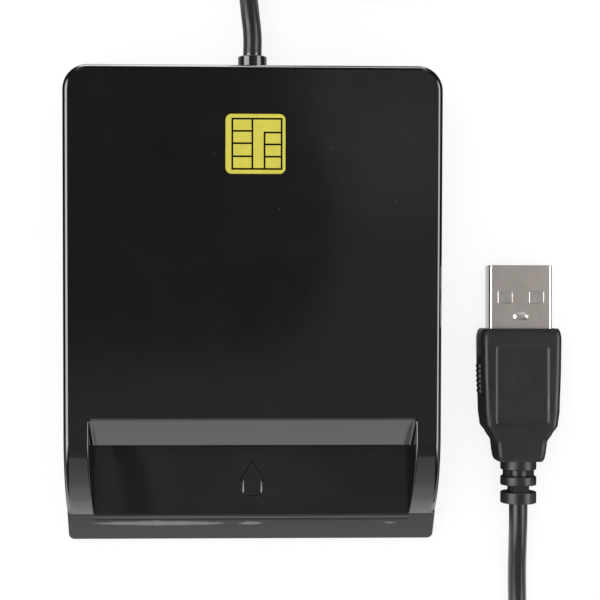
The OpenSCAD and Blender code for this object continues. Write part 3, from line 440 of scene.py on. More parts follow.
def fit_guides(base):
    """Two side guides, an end stop and four runners for the card, and eight screw posts."""
    rib = 1.2 * mm
    half_rib = rib / 2
    low = inside_z - 0.5 * mm
    stop_top_z = guide_top_z - 0.1 * mm
    runner_top_z = floor_z - 0.025 * mm
    channel_y = slot_y + 5.4 * mm
    for side in (-1, 1):
        inner = side * card_half_w
        outer = side * (card_half_w + rib)
        fuse(base, block("guide", min(inner, outer), max(inner, outer), channel_y, stop_y + rib,
                         low, guide_top_z))
    fuse(base, block("stop", -card_half_w - half_rib, card_half_w + half_rib, stop_y,
                     stop_y + rib, low, stop_top_z))
    runners = 4
    for k in range(runners):
        x = 2 * card_half_w * ((k + 0.5) / runners - 0.5)
        fuse(base, block("runner", x - half_rib, x + half_rib, slot_y + half_rib,
                         stop_y + half_rib, low, runner_top_z))
    case_post_r = 2.6 * mm
    board_post_r = 2.2 * mm
    for x, y in screw_places:
        fuse(base, rod("post", case_post_r, low, parting_z, (x, y, 0)))
    for x, y in board_posts:
        fuse(base, rod("post", board_post_r, low, board_z, (x, y, 0)))


def drill_base(base):
    """Stepped bores for the case screws, pilot holes for the board's, and seats for the feet."""
    bore_r = 1.1 * mm
    head_hole_r = screw_head_r + 0.1 * mm
    head_top = base_z + bottom_t
    for x, y in screw_places:
        cut(base, turned("bore", [(0, base_z - overrun), (head_hole_r, base_z - overrun),
                                  (head_hole_r, head_top), (bore_r, head_top),
                                  (bore_r, parting_z + overrun), (0, parting_z + overrun)],
                         (x, y, 0)))
    pilot_r = 1 * mm
    for x, y in board_posts:
        cut(base, rod("pilot", pilot_r, floor_z - mm, board_z + overrun, (x, y, 0)))
    foot_low, foot_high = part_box("rubber_feet")
    foot_r = 4 * mm
    seat_r = foot_r + 0.1 * mm
    for side in (-1, 1):
        for y in (foot_low.y + foot_r, foot_high.y - foot_r):
            cut(base, rod("foot_seat", seat_r, base_z - overrun, foot_high.z,
                          (side * (foot_high.x - foot_r), y, 0)))


def open_gland_hole(piece):
    hole_r = 2.4 * mm
    cut(piece, rod("gland_hole", hole_r, rear_y - 2 * overrun, rear_y + overrun,
                   (0, 0, gland_z), axis="Y"))


def engrave_arrow(base):
    """Cuts the outline of the arrow as one fine round-bottomed line."""
    mid_x = 0.1 * mm
    apex_y = slot_y - 3.2 * mm
    head_y = slot_y - 7 * mm
    tail_y = slot_y - 9.55 * mm
    head_w = 2.46 * mm
    shaft_w = 1.72 * mm
    tail_r = 0.8 * mm
    line_r = 0.2 * mm
    line_z = floor_z + line_r / 8
    right = [(0, apex_y), (head_w, head_y), (shaft_w, head_y)]
    right += [(shaft_w - tail_r + tail_r * cosine, tail_y + tail_r - tail_r * sine)
              for cosine, sine in quarter_turn(5)]
    outline = right + [(-x, y) for x, y in reversed(right[1:])]
    line = bpy.data.curves.new("arrow_line", "CURVE")
    line.dimensions = "3D"
    line.bevel_depth = line_r
    line.bevel_resolution = 2
    spline = line.splines.new("POLY")
    spline.points.add(len(outline) - 1)
    spline.use_cyclic_u = True
    for knot, (x, y) in zip(spline.points, outline):
        knot.co = (mid_x + x, y, line_z, 1)
    path = place_object("arrow_line", line)
    cut(base, place_object("arrow_cutter", finished_mesh(path)))
    bpy.data.objects.remove(path)


def maths(one, two, operation):
    return add_node("Math", {0: one, 1: two}, operation=operation).outputs[0]


def times(one, two):
    return maths(one, two, "MULTIPLY")


def polished(name, colour, roughness, index):
    """Gloss black moulding with a faint ripple from the mould and a little dust."""
    specks_per_m = 420.0
    speck_r = 0.045
    speck_share = 0.1
    dust_colour = (0.07, 0.07, 0.07, 1)
    finish, shader, place = new_finish(name)
    specks = add_node("TexVoronoi", {"Vector": place, "Scale": specks_per_m})
    near = maths(specks.outputs["Distance"], speck_r, "LESS_THAN")
    split = add_node("SeparateColor", {"Color": specks.outputs["Color"]})
    rare = maths(split.outputs["Red"], 1 - speck_share, "GREATER_THAN")
    plain = tinted(drift(place, 9 * mm, 0, 1), colour, 0.15)
    feed(shader, "Base Color", mixed(times(near, rare), plain, dust_colour))
    feed(shader, "Roughness", drift(place, 5 * mm, roughness * 0.8, roughness * 1.25))
    shader.inputs["IOR"].default_value = index
    raise_grain(shader, drift(place, 2.5 * mm, 0, 1, 1.0), 0.0012 * mm)
    return finish


base = base_block()
shape_lip(base)
shape_mouth_floor(base)
hollow_tray(base)
fit_guides(base)
drill_base(base)
open_gland_hole(base)
engrave_arrow(base)
ease_edges(base, 0.08 * mm)
true_shading(base, 12)
base.data.materials.append(polished("base_gloss_black", (0.0124, 0.0124, 0.0128), 0.024, 1.48))
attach(base, "case")
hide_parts("base_cover")

# Four round feet of soft black rubber keep the reader from sliding.
# Each is moulded on its own and pressed into a shallow seat under the base.
rubber = moulded("foot_rubber_black", (0.03, 0.03, 0.031), 0.75, 0.25 * mm, 0.02 * mm)


def finish_node(node, finish):
    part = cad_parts[node]
    part.data.materials.clear()
    part.data.materials.append(finish)


finish_node("rubber_feet", rubber)

# The circuit board is a green-lacquered glass laminate, screwed face down to four posts.
# Its copper tracks show as slightly lighter lines under the lacquer.


def lacquered_board():
    tracks_per_m = 260.0
    track_w = 0.07
    bare_green = (0.015, 0.09, 0.03, 1)
    track_green = (0.03, 0.15, 0.05, 1)
    finish, shader, place = new_finish("green_board")
    tracks = add_node("TexVoronoi", {"Vector": place, "Scale": tracks_per_m},
                      distance="MANHATTAN", feature="DISTANCE_TO_EDGE")
    track = maths(tracks.outputs["Distance"], track_w, "LESS_THAN")
    feed(shader, "Base Color", mixed(track, bare_green, track_green))
    feed(shader, "Roughness", drift(place, 3 * mm, 0.25, 0.4))
    raise_grain(shader, track, 0.03 * mm)
    return finish


finish_node("circuit_board", lacquered_board())

# The card connector is a black glass-filled frame with two rows of sprung gold contacts.
# A card from the mouth lifts the contact noses, and at the end of its travel the lever.


def rolled_metal(name, colour, roughness, stretch=(1, 12, 1)):
    """Strip or turned metal with the fine lines that rolling or turning leaves."""
    finish, shader, place = new_finish(name)
    lined = add_node("Mapping", {"Vector": place, "Scale": stretch})
    lines = drift(lined.outputs["Vector"], 0.8 * mm, 0, 1, 0.5)
    feed(shader, "Base Color", tinted(drift(place, 4 * mm, 0, 1), colour, 0.06))
    shader.inputs["Metallic"].default_value = 1
    spread = add_node("MapRange",
                      {"Value": lines, "To Min": roughness * 0.97, "To Max": roughness * 1.03})
    feed(shader, "Roughness", spread.outputs["Result"])
    raise_grain(shader, lines, 0.0002 * mm, 0.15)
    return finish


finish_node("card_connector", moulded("frame_black", (0.02, 0.02, 0.021), 0.5, 0.2 * mm))
tin = rolled_metal("tinned_copper", (0.72, 0.72, 0.74), 0.35)
gold = rolled_metal("gold_plate", (0.9, 0.65, 0.24), 0.25)
finish_node("connector_feet", tin)
finish_node("contact_springs_front", gold)
finish_node("contact_springs_rear", gold)
finish_node("card_switch", moulded("switch_black", (0.025, 0.025, 0.027), 0.45, 0.2 * mm))
finish_node("card_switch_lever", tin)

# The parts on the board: controller, clock crystal, regulator and two rows of passives,
# all flow soldered, with the wire socket hanging under the board's tongue.
package = moulded("package_black", (0.02, 0.02, 0.021), 0.6, 0.15 * mm, 0.008 * mm)
finish_node("controller_chip", package)
finish_node("voltage_regulator", package)
finish_node("clock_crystal", moulded("crystal_ceramic", (0.58, 0.55, 0.45), 0.5, 0.2 * mm))
finish_node("board_passives", moulded("passive_ceramic", (0.45, 0.32, 0.15), 0.5, 0.1 * mm))
finish_node("wire_header", moulded("header_ivory", (0.8, 0.77, 0.68), 0.45, 0.2 * mm))
finish_node("lead_wires", moulded("wire_red", (0.45, 0.03, 0.02), 0.4, 0.2 * mm))
steel = rolled_metal("screw_steel", (0.5, 0.5, 0.52), 0.32, (8, 8, 1))
finish_node("board_screws", steel)
finish_node("case_screws", steel)

# The gland is a smooth black moulding gripped between the two halves of the case.
# A flange inside takes the pull, and the round barrel outside leads the cable away.
gland_low, gland_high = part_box("cable_gland")


def gland_profile():
    barrel_r = 2.72 * mm
    neck_r = 2.3 * mm
    flange_r = 3.3 * mm
    stub_r = cord_d / 2
    stub_l = 0.4 * mm
    flange_l = 1.2 * mm
    play = 0.1 * mm
    end_r = 0.15 * mm
    fore_r = 0.25 * mm
    tail_l = 0.6 * mm
    tail_r = cord_d / 2 + 0.03 * mm
    flange_y = gland_low.y + stub_l
    barrel_y = rear_y + play
    barrel_end = gland_high.y - tail_l
    profile = [(0, gland_low.y), (stub_r, gland_low.y), (stub_r, flange_y),
               (flange_r, flange_y), (flange_r, flange_y + flange_l),
               (neck_r, flange_y + flange_l), (neck_r, barrel_y)]
    profile += [(barrel_r - fore_r + fore_r * sine, barrel_y + fore_r - fore_r * cosine)
                for cosine, sine in quarter_turn(6)]
    profile += [(barrel_r - end_r + end_r * cosine, barrel_end - end_r + end_r * sine)
                for cosine, sine in quarter_turn(6)]
    return profile + [(tail_r, barrel_end), (tail_r, gland_high.y), (0, gland_high.y)]


gland = turned("gland", gland_profile(), (0, 0, gland_z), axis="Y", sides=56)
true_shading(gland)
gland.data.materials.append(polished("gland_gloss_black", (0.012, 0.012, 0.013), 0.16, 1.55))
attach(gland, "case")
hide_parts("cable_gland")

# The cover is the upper half in the same gloss black, with the scooped card mouth.
# Its two ears fall in one long curve to the lip, and the sloped face ends over the slot.
cover_z = 6.35 * mm
edge_r = 1.2 * mm
ear_start_y = front_y + 20.6 * mm
ear_end_z = 6.6 * mm
mouth_y = front_y + 23.6 * mm
mouth_half_w = 30 * mm
mouth_lean = 0.05
slope_end_y = slot_y + 0.15 * mm
slope_end_z = 9.3 * mm
slot_roof_z = 7.21 * mm
ceiling_z = top_z - 1.5 * mm
ear_tip_y = crease_y + 0.05 * mm
ear_run = ear_start_y - ear_tip_y
ear_drop = top_z - ear_end_z
ear_r = (ear_run * ear_run + ear_drop * ear_drop) / (2 * ear_drop)
ear_steps = 40
arc_steps = 8
rim_steps = 5
fillet_r = 0.5 * mm
slope_run = mouth_y - slope_end_y
slope_drop = top_z - slope_end_z
slope_sin = slope_drop / math.hypot(slope_run, slope_drop)
slope_way = Vector((-mouth_lean * slope_sin, -math.sqrt(1 - slope_sin ** 2), -slope_sin))


def crown_z(y):
    if y >= ear_start_y:
        return top_z
    fall = ear_start_y - y
    return top_z - ear_r + math.sqrt(ear_r * ear_r - fall * fall)


def mouth_wall_x(z):
    return mouth_half_w - mouth_lean * (top_z - z)


def cover_plan():
    """Right half of the plan, from the ear's tip to the middle of the rear."""
    ear_ys = [ear_start_y - ear_run * (1 - k / ear_steps) for k in range(ear_steps + 1)]
    return [(Vector((side_x(y), y)), Vector((1, 0))) for y in ear_ys] + rear_corner()


def edge_reach(y):
    """How far the rounded edge reaches in over the top; it widens at the ear's tip."""
    tip_l = 3.5 * mm
    tip_reach = 0.8 * mm
    near = max(0, 1 - (y - ear_tip_y) / tip_l)
    return edge_r + tip_reach * near * near


def soft_corner(over, corner, under):
    """A small rounding from a point on one face, round their corner, to a point on the next."""
    points = []
    for k in range(rim_steps + 1):
        t = k / rim_steps
        points.append((1 - t) ** 2 * over + 2 * t * (1 - t) * corner + t * t * under)
    return points


def mouth_rim():
    """Right half of the mouth's rim from the ear's tip to the sloped face, row by row."""
    side_soft = 0.4 * mm
    slope_soft = 0.45 * mm
    tip_share = 0.8
    turn_steps = 8
    rim = []
    for point, _ in cover_plan()[:ear_steps + 1]:
        high = crown_z(point.y)
        soft = min(side_soft, (high - cover_z) * tip_share)
        rim.append(soft_corner(Vector((mouth_wall_x(high) + soft, point.y, high)),
                               Vector((mouth_wall_x(high), point.y, high)),
                               Vector((mouth_wall_x(high - soft), point.y, high - soft))))
    for k, (cosine, sine) in enumerate(quarter_turn(turn_steps)):
        corner = Vector((mouth_half_w - fillet_r * (1 - cosine),
                         mouth_y - fillet_r * (1 - sine) / slope_sin, top_z))
        out = Vector((cosine, sine * slope_sin, 0)).normalized()
        soft = side_soft + (slope_soft - side_soft) * k / turn_steps
        rim.append(soft_corner(corner + out * soft, corner, corner + slope_way * soft))
    return rim


def cover_shell():
    """The outer skin, the mouth's rim, its sloped face and walls, and the flat underside."""
    tip_share = 0.9
    corners = []
    faces = []

    def add(point):
        corners.append(tuple(point))
        return len(corners) - 1

    def join(rows):
        for one, two in zip(rows, rows[1:]):
            for k in range(len(one) - 1):
                faces.append([one[k], two[k], two[k + 1], one[k + 1]])

    skin = []
    for p, n in with_left(cover_plan()):
        high = crown_z(p.y)
        round_z = min(edge_r, (high - cover_z) * tip_share)
        reach = edge_reach(p.y)
        column = [add((p.x, p.y, cover_z))]
        for cosine, sine in quarter_turn(arc_steps):
            inset = reach * (1 - cosine)
            column.append(add((p.x - n.x * inset, p.y - n.y * inset, high - round_z * (1 - sine))))
        skin.append(column)
    join(skin)

    right_rim = mouth_rim()
    left_rim = [[Vector((-p.x, p.y, p.z)) for p in row] for row in reversed(right_rim)]
    rim = [[add(p) for p in row] for row in right_rim + left_rim]
    join(rim)

    for k in range(ear_steps):
        faces.append([skin[k][-1], skin[k + 1][-1], rim[k + 1][0], rim[k][0]])
        faces.append([skin[-1 - k][-1], skin[-2 - k][-1], rim[-2 - k][0], rim[-1 - k][0]])
    faces.append([column[-1] for column in skin[ear_steps:len(skin) - ear_steps]]
                 + [row[0] for row in reversed(rim[ear_steps:len(rim) - ear_steps])])

    slope = []
    for top in [row[-1] for row in rim[ear_steps + 1:len(rim) - ear_steps - 1]]:
        start = Vector(corners[top])
        side = math.copysign(1, start.x)
        drop = (start.z - slope_end_z) / slope_sin
        end = start + Vector((side * slope_way.x, slope_way.y, slope_way.z)) * drop
        foot_x = end.x - side * mouth_lean * (slope_end_z - cover_z)
        slope.append((top, add(end), add((foot_x, end.y, cover_z))))
    join(slope)

    tips = [add((side * mouth_wall_x(cover_z), ear_tip_y, cover_z)) for side in (1, -1)]
    right_wall = [row[-1] for row in rim[:ear_steps + 2]]
    left_wall = [row[-1] for row in reversed(rim[-ear_steps - 2:])]
    faces.append(right_wall + [slope[0][1], slope[0][2], tips[0]])
    faces.append(left_wall + [slope[-1][1], slope[-1][2], tips[1]])
    faces.append(skin[0] + rim[0] + [tips[0]])
    faces.append(skin[-1] + rim[-1] + [tips[1]])
    feet = [row[2] for row in reversed(slope)]
    faces.append([column[0] for column in skin] + [tips[1]] + feet + [tips[0]])
    return place_solid("top_shell", corners, faces)


def open_slot(cover):
    """Cuts the card slot with its lead-in, and the room above the board and the connector."""
    slot_half_w = 28.2 * mm
    lead = 0.79 * mm
    slot_back_y = slot_y + 6.3 * mm
    chamber_x = 33 * mm
    brow_y = slot_y + 4.78 * mm
    shelf_y = slot_y + 2.67 * mm
    shelf_z = slot_roof_z + 1.4 * mm
    ceiling_y = slot_y + 6.11 * mm
    low = cover_z - overrun
    cut(cover, prism_along_x("slot", -slot_half_w, slot_half_w, [
        (slot_y - lead, low), (slot_y - lead, slot_roof_z + lead), (slot_y + lead, slot_roof_z),
        (slot_back_y, slot_roof_z), (slot_back_y, low)]))
    cut(cover, prism_along_x("chamber", -chamber_x, chamber_x, [
        (rear_y - wall, low), (rear_y - wall, ceiling_z), (ceiling_y, ceiling_z),
        (shelf_y, shelf_z), (brow_y, shelf_z), (brow_y, low)]))


def fit_cover_posts(cover):
    """Four posts that take the case screws, bored from below."""
    post_r = 2.4 * mm
    post_top = ceiling_z + 0.5 * mm
    bore_r = 1.1 * mm
    bore_top = ceiling_z - 1.4 * mm
    for x, y in screw_places:
        fuse(cover, rod("post", post_r, parting_z, post_top, (x, y, 0)))
        cut(cover, rod("bore", bore_r, parting_z - mm, bore_top, (x, y, 0)))


def round_corners(half_x, half_y, radius, steps):
    """The four rounded corners of a rectangle, going round from the right."""
    corners = []
    for quarter in range(4):
        turn = math.pi / 4 + math.pi / 2 * quarter
        middle = Vector((math.copysign(half_x - radius, math.cos(turn)),
                         math.copysign(half_y - radius, math.sin(turn))))
        angles = [math.pi / 2 * (quarter + k / steps) for k in range(steps + 1)]
        corners.append([middle + radius * Vector((math.cos(a), math.sin(a))) for a in angles])
    return corners


def flat_ring(half_x, half_y, radius, steps=5):
    return sum(round_corners(half_x, half_y, radius, steps), [])


def stacked(name, levels, centre):
    """A solid skin over closed outlines of equal length, each with its height."""
    return skinned(name, [[(centre[0] + p.x, centre[1] + p.y, z) for p in ring]
                          for z, ring in levels])


badge_low, badge_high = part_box("chip_emblem")
badge_mid = (badge_low + badge_high) / 2
badge_half = (badge_high.x - badge_low.x) / 2
badge_r = 1.1 * mm
badge_gap = 0.1 * mm


def badge_ring(out):
    return flat_ring(badge_half + out, badge_half + out, badge_r + out, 8)


cover = cover_shell()
open_slot(cover)
fit_cover_posts(cover)
pocket = badge_ring(badge_gap)
cut(cover, stacked("badge_pocket", [(badge_low.z, pocket), (top_z + overrun, pocket)], badge_mid))
open_gland_hole(cover)
true_shading(cover, 25)
cover.data.materials.append(polished("cover_gloss_black", (0.006, 0.006, 0.0065), 0.09, 1.6))
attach(cover, "case")
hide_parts("top_cover")

# The badge is a small gold-coloured inlay with the plain contact field of a card chip.
# It is stamped from lacquered sheet, its lines are pressed in and filled black, and it is glued.
badge_field = {"left": -0.772, "right": 0.868, "end": 0.835, "bar": -0.105, "post": 0.3}
left_rows = (-0.417, 0.018, 0.427)
right_rows = (-0.427, -0.018, 0.377)
line_w = 0.34 * mm
line_d = 0.12 * mm


def badge_plate():
    soft = 0.12 * mm
    levels = [(badge_low.z, badge_ring(0))]
    for cosine, sine in quarter_turn(3):
        levels.append((badge_high.z - soft + soft * sine, badge_ring(-soft * (1 - cosine))))
    return stacked("badge", levels, badge_mid)


def press_lines(badge):
    """Presses the border, the two bars and the rows between them."""
    left, right, end, bar, post = (badge_half * share for share in badge_field.values())
    lines = [(left, right, y, y) for y in (end, -end)]
    lines += [(x, x, -end, end) for x in (left, right, bar)]
    lines.append((post, post, -end, badge_half * right_rows[-1]))
    lines += [(left, bar, badge_half * row, badge_half * row) for row in left_rows]
    lines += [(post, right, badge_half * row, badge_half * row) for row in right_rows]
    half_line = line_w / 2
    for x0, x1, y0, y1 in lines:
        cut(badge, block("line", badge_mid.x + x0 - half_line, badge_mid.x + x1 + half_line,
                         badge_mid.y + y0 - half_line, badge_mid.y + y1 + half_line,
                         badge_high.z - line_d, badge_high.z + mm))


def fill_lines(badge):
    """Gives the second finish to all that is sunk inside the rim."""
    rim_w = 0.3 * mm
    for face in badge.data.polygons:
        middle = face.center
        sunk = badge_low.z + mm / 10 < middle.z < badge_high.z - line_d / 3
        out = max(abs(middle.x - badge_mid.x), abs(middle.y - badge_mid.y))
        if sunk and out < badge_half - rim_w:
            face.material_index = 1


badge = badge_plate()
press_lines(badge)
true_shading(badge)
badge.data.materials.append(moulded("badge_gold_lacquer", (0.67, 0.61, 0.074), 0.38,
                                    0.3 * mm, 0.004 * mm, 0.05))
badge.data.materials.append(moulded("badge_line_black", (0.003, 0.0025, 0.002), 0.8, index=1.1))
fill_lines(badge)
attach(badge, "case")
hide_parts("chip_emblem")

# The tie is a flat strap of soft black nylon.
# It is closed round the coil by hand and keeps its turns together.
finish_node("coil_tie", moulded("nylon_black", (0.03, 0.03, 0.034), 0.55, 0.3 * mm, 0.02 * mm))

# The plug's grip is a soft dark grey moulding over the soldered wires.
# It has a sunk panel on each face, six ribs down each side and a slotted strain relief.
grip_low, grip_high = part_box("plug_grip")
shell_low, shell_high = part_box("plug_shell")
plug_x = (shell_low.x + shell_high.x) / 2
plug_z = (shell_low.z + shell_high.z) / 2
plug_tip_y = shell_high.y
grip_w = 15.2 * mm
grip_t = grip_high.z - grip_low.z
grip_l = 25.2 * mm
relief_l = 8.1 * mm
collar_l = relief_l * 0.21
collar_gap = relief_l * 0.155
grip_front_y = grip_high.y
neck_share = 9.8 / 15.2
grip_shares = [(0, 0.93, 0.88), (0.025, 0.98, 0.96), (0.07, 1, 1), (0.3, 0.99, 1),
               (0.62, 0.955, 1), (0.73, 0.91, 1), (0.79, 1.2 * neck_share, 0.97),
               (0.85, 1.01 * neck_share, 0.93), (0.91, 0.98 * neck_share, 0.9),
               (0.975, 0.93 * neck_share, 0.88), (1, 0.86 * neck_share, 0.82)]
grip_round = 1.3 * mm
rib_pitch = 0.95 * mm
rib_count = 6
rib_front = 7.2 * mm
rib_out = 0.4 * mm
rib_half_l = 1.5 * mm


def share_at(along, column):
    """Width or height share of the grip, blended smoothly between its stations."""
    for one, two in zip(grip_shares, grip_shares[1:]):
        if along <= two[0]:
            t = (along - one[0]) / (two[0] - one[0])
            s = t * t * (3 - 2 * t) * 0.5 + t * 0.5
            return one[column] + (two[column] - one[column]) * s
    return grip_shares[-1][column]


def rib_height(distance):
    """How far a rib stands out at a distance behind the grip's front."""
    for k in range(rib_count):
        near = abs(distance - rib_front - k * rib_pitch) / (rib_pitch / 2)
        if near < 1:
            return rib_out * math.sqrt(1 - near * near)
    return 0


def grip_ring(distance):
    """The outline of the grip at a distance behind its front, with the ribs at both sides."""
    along = distance / grip_l
    half_x = grip_w / 2 * share_at(along, 1)
    half_z = grip_t / 2 * share_at(along, 2)
    rib_l = min(rib_half_l, (half_z - grip_round) * 0.9)
    ring = []
    for corner, side in zip(round_corners(half_x, half_z, grip_round, 7), (0, -1, 0, 1)):
        ring += corner
        if side:
            for share in (1, 0.9, -0.9, -1):
                proud = rib_height(distance) if abs(share) < 1 else 0
                ring.append(Vector((side * (half_x + proud), -side * share * rib_l)))
    return ring


def grip_body():
    stations = 60
    fine = rib_count * 12
    rib_start = rib_front - rib_pitch / 2
    spots = {grip_l * k / stations for k in range(stations + 1)}
    spots |= {rib_start + rib_count * rib_pitch * k / fine for k in range(fine + 1)}
    return skinned("grip", [[(plug_x + p.x, grip_front_y - d, plug_z + p.y) for p in grip_ring(d)]
                            for d in sorted(spots)])


def relief_profile():
    """Three collars with a slot between each pair, down to the cable."""
    collar_r = 3.4 * mm
    slot_r = cord_d / 2 + 0.3 * mm
    soft = 0.22 * mm
    sink = 0.4 * mm
    y = grip_front_y - grip_l + sink
    profile = [(0, y), (collar_r, y)]
    y -= sink
    for last in (False, False, True):
        end = grip_low.y if last else y - collar_l
        profile += [(collar_r - soft + soft * cosine, end + soft - soft * sine)
                    for cosine, sine in quarter_turn(3)]
        if not last:
            y = end - collar_gap
            profile += [(slot_r, end), (slot_r, y)]
            profile += [(collar_r - soft + soft * sine, y - soft + soft * cosine)
                        for cosine, sine in quarter_turn(3)]
    return profile + [(0, grip_low.y)]


def relief_webs():
    """The bridges that join the collars: a pair at the sides, then one above and below."""
    sink = 0.3 * mm
    thin = 1.5 * mm
    wide = 2.7 * mm
    webs = []
    front = grip_front_y - grip_l - collar_l
    for half_x, half_z in ((wide, thin), (thin, wide)):
        webs.append(block("web", plug_x - half_x, plug_x + half_x, front - collar_gap - sink,
                          front + sink, plug_z - half_z, plug_z + half_z))
        front = front - collar_gap - collar_l
    return webs


def sink_panels(grip):
    """A shallow panel with sloped sides in the upper and in the lower face."""
    panel_w = 9.4 * mm
    panel_l = 14.4 * mm
    panel_front = 3.4 * mm
    panel_d = 0.2 * mm
    corner = 0.5 * mm
    draft = 0.42 * mm
    middle = (plug_x, grip_front_y - panel_front - panel_l / 2)
    for side in (-1, 1):
        face = plug_z + side * grip_t / 2
        levels = []
        for z, out in ((face - side * panel_d, 0), (face, draft), (face + side * mm, draft)):
            levels.append((z, flat_ring(panel_w / 2 + out, panel_l / 2 + out, corner + out)))
        cut(grip, stacked("panel", levels, middle))


grip = grip_body()
sink_panels(grip)
hole_gap = 0.05 * mm
shell_half_w = (shell_high.x - shell_low.x) / 2
shell_half_h = (shell_high.z - shell_low.z) / 2
core_low, core_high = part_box("plug_core")
for name, low, high, end in (("shell_seat", shell_low, shell_high, grip_front_y),
                             ("core_seat", core_low, core_high, core_high.y)):
    cut(grip, block(name, low.x - hole_gap, high.x + hole_gap, low.y - hole_gap, end + mm,
                    shell_low.z - hole_gap, shell_high.z + hole_gap))
relief = turned("relief", relief_profile(), (plug_x, 0, plug_z), axis="Y", sides=48)
for web in relief_webs():
    fuse(relief, web)
fuse(grip, relief)
true_shading(grip, 22)
grip.data.materials.append(moulded("grip_dark_grey", (0.019, 0.0185, 0.0215), 0.38,
                                   0.25 * mm, 0.004 * mm, 0.1, 1.38))
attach(grip, "case")
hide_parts("plug_grip")
finish_node("plug_core", moulded("core_ivory", (0.7, 0.68, 0.6), 0.5, 0.3 * mm))

# The metal shell is folded from thin nickel-plated sheet, with two latch windows a side.
# An oval dimple pressed into its upper face near the grip steadies it in its socket.
sheet_t = 0.3 * mm
shell_corner = 0.6 * mm
window_w = 2.6 * mm
window_l = 2.3 * mm
window_x = 3 * mm
window_back = 4.9 * mm
window_corner = 0.35 * mm
dimple_back = 9.7 * mm
dimple_d = sheet_t * 0.7
dimple_r = 0.8 * mm
dimple_rim_wide = 1.75
dimple_floor_wide = 1.1
dimple_floor_long = 0.45


def drawn_tube(name, ring, y0, y1):
    return skinned(name, [[(plug_x + p.x, y, plug_z + p.y) for p in ring] for y in (y0, y1)])


shell = drawn_tube("shell", flat_ring(shell_half_w, shell_half_h, shell_corner),
                   shell_low.y, plug_tip_y)
cut(shell, drawn_tube("bore", flat_ring(shell_half_w - sheet_t, shell_half_h - sheet_t,
                                        shell_corner - sheet_t), shell_low.y - mm, plug_tip_y + mm))
for side in (-1, 1):
    middle = (plug_x + side * window_x, plug_tip_y - window_back - window_l / 2)
    ring = flat_ring(window_w / 2, window_l / 2, window_corner)
    cut(shell, stacked("window", [(shell_low.z - mm, ring), (shell_high.z + mm, ring)], middle))
dimple = flat_ring(dimple_r, dimple_r, 0.75 * mm)
dimple_floor = [Vector((p.x * dimple_floor_wide, p.y * dimple_floor_long)) for p in dimple]
dimple_rim = [Vector((p.x * dimple_rim_wide, p.y)) for p in dimple]
cut(shell, stacked("dimple", [(shell_high.z - dimple_d, dimple_floor),
                              (shell_high.z, dimple_rim), (shell_high.z + mm, dimple_rim)],
                   (plug_x, plug_tip_y - dimple_back)))
ease_edges(shell, 0.09 * mm, 2, 50)
true_shading(shell, 20)
shell.data.materials.append(rolled_metal("nickel_plate", (0.7, 0.635, 0.595), 0.31, (3, 0.3, 3)))
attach(shell, "case")
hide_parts("plug_shell")

# Inside the shell lies the pale nylon insulator with its tongue.
# Four gold-plated strips are pressed into the tongue, and the wires are soldered to them.
# With these the cord is complete from the gland to the plug's tip.
# The insulator's colour is set to a mid grey, darker than the pale nylon, as painted shade for the
# dim room that shows through the latch windows.
finish_node("plug_insert", moulded("insulator_grey_painted_shade", (0.3, 0.29, 0.275), 0.5, 0.3 * mm))
finish_node("plug_contacts", gold)

# The table is plain white. It takes the reader's faint shadow and shows white to the lens.
# In the gloss it is bright in front and behind, and dark at the sides, like black studio cards.
# Each card is given by where its edge is dark, where it is full, and its level.
table_half_w = 1.5
table_t = 20 * mm
table_grey = 0.8
seen_grey = 0.25
seen_glow = 0.8
front_card = (-38 * mm, -46 * mm, 1.85)
near_card = (44 * mm, 47 * mm, 0.7)
near_half_w = (30 * mm, 26 * mm)
far_card = (62 * mm, 68 * mm, 8)
far_half_w = (39 * mm, 32 * mm)
far_flare = 0.3
side_card_left = (42.5 * mm, 43.5 * mm)
side_card_right = (46.5 * mm, 45.5 * mm)
side_card_end = (10 * mm) ** 2
side_card_full = 0.8 * side_card_end
side_level = 0.8
spill = 0.04
table = block("table", -table_half_w, table_half_w, -table_half_w, table_half_w, -table_t, 0)


def plus(one, two):
    return maths(one, two, "ADD")


def minus(one, two):
    return maths(one, two, "SUBTRACT")


def over(one, two):
    return maths(one, two, "DIVIDE")


def steps_by(value, low, high):
    """0 at low and 1 at high, with a smooth step between."""
    return add_node("MapRange", {"Value": value, "From Min": low, "From Max": high},
                    interpolation_type="SMOOTHSTEP").outputs["Result"]


def blend_of(amount, one, two):
    return add_node("Mix", {"Factor": amount, 2: one, 3: two}, data_type="FLOAT").outputs[0]


def card(value, dark, full, level):
    return times(steps_by(value, dark, full), level)


def ray_kinds(tree):
    """1 for what the lens sees, also through clear parts, and 1 for what shows in gloss."""
    path = add_node("LightPath", {}, tree)
    seen = maths(path.outputs["Is Camera Ray"], path.outputs["Is Transmission Ray"], "MAXIMUM")
    return seen, path.outputs["Is Glossy Ray"]


def table_cards(place):
    """How bright the table looks in the gloss of the reader. The side card ends by y squared."""
    parts = add_node("SeparateXYZ", {"Vector": place})
    x, y = (parts.outputs[k] for k in "XY")
    half_w = maths(x, 0, "ABSOLUTE")
    front = card(y, *front_card)
    near = times(card(y, *near_card), steps_by(half_w, *near_half_w))
    far = card(y, *far_card)
    flare = times(minus(y, near_card[0]), far_flare)
    far = times(far, steps_by(minus(half_w, flare), *far_half_w))
    side = times(steps_by(x, *side_card_left), steps_by(x, *side_card_right))
    side = times(side, steps_by(times(y, y), side_card_end, side_card_full))
    cards = plus(plus(front, near), plus(far, spill))
    return plus(cards, times(side, side_level))


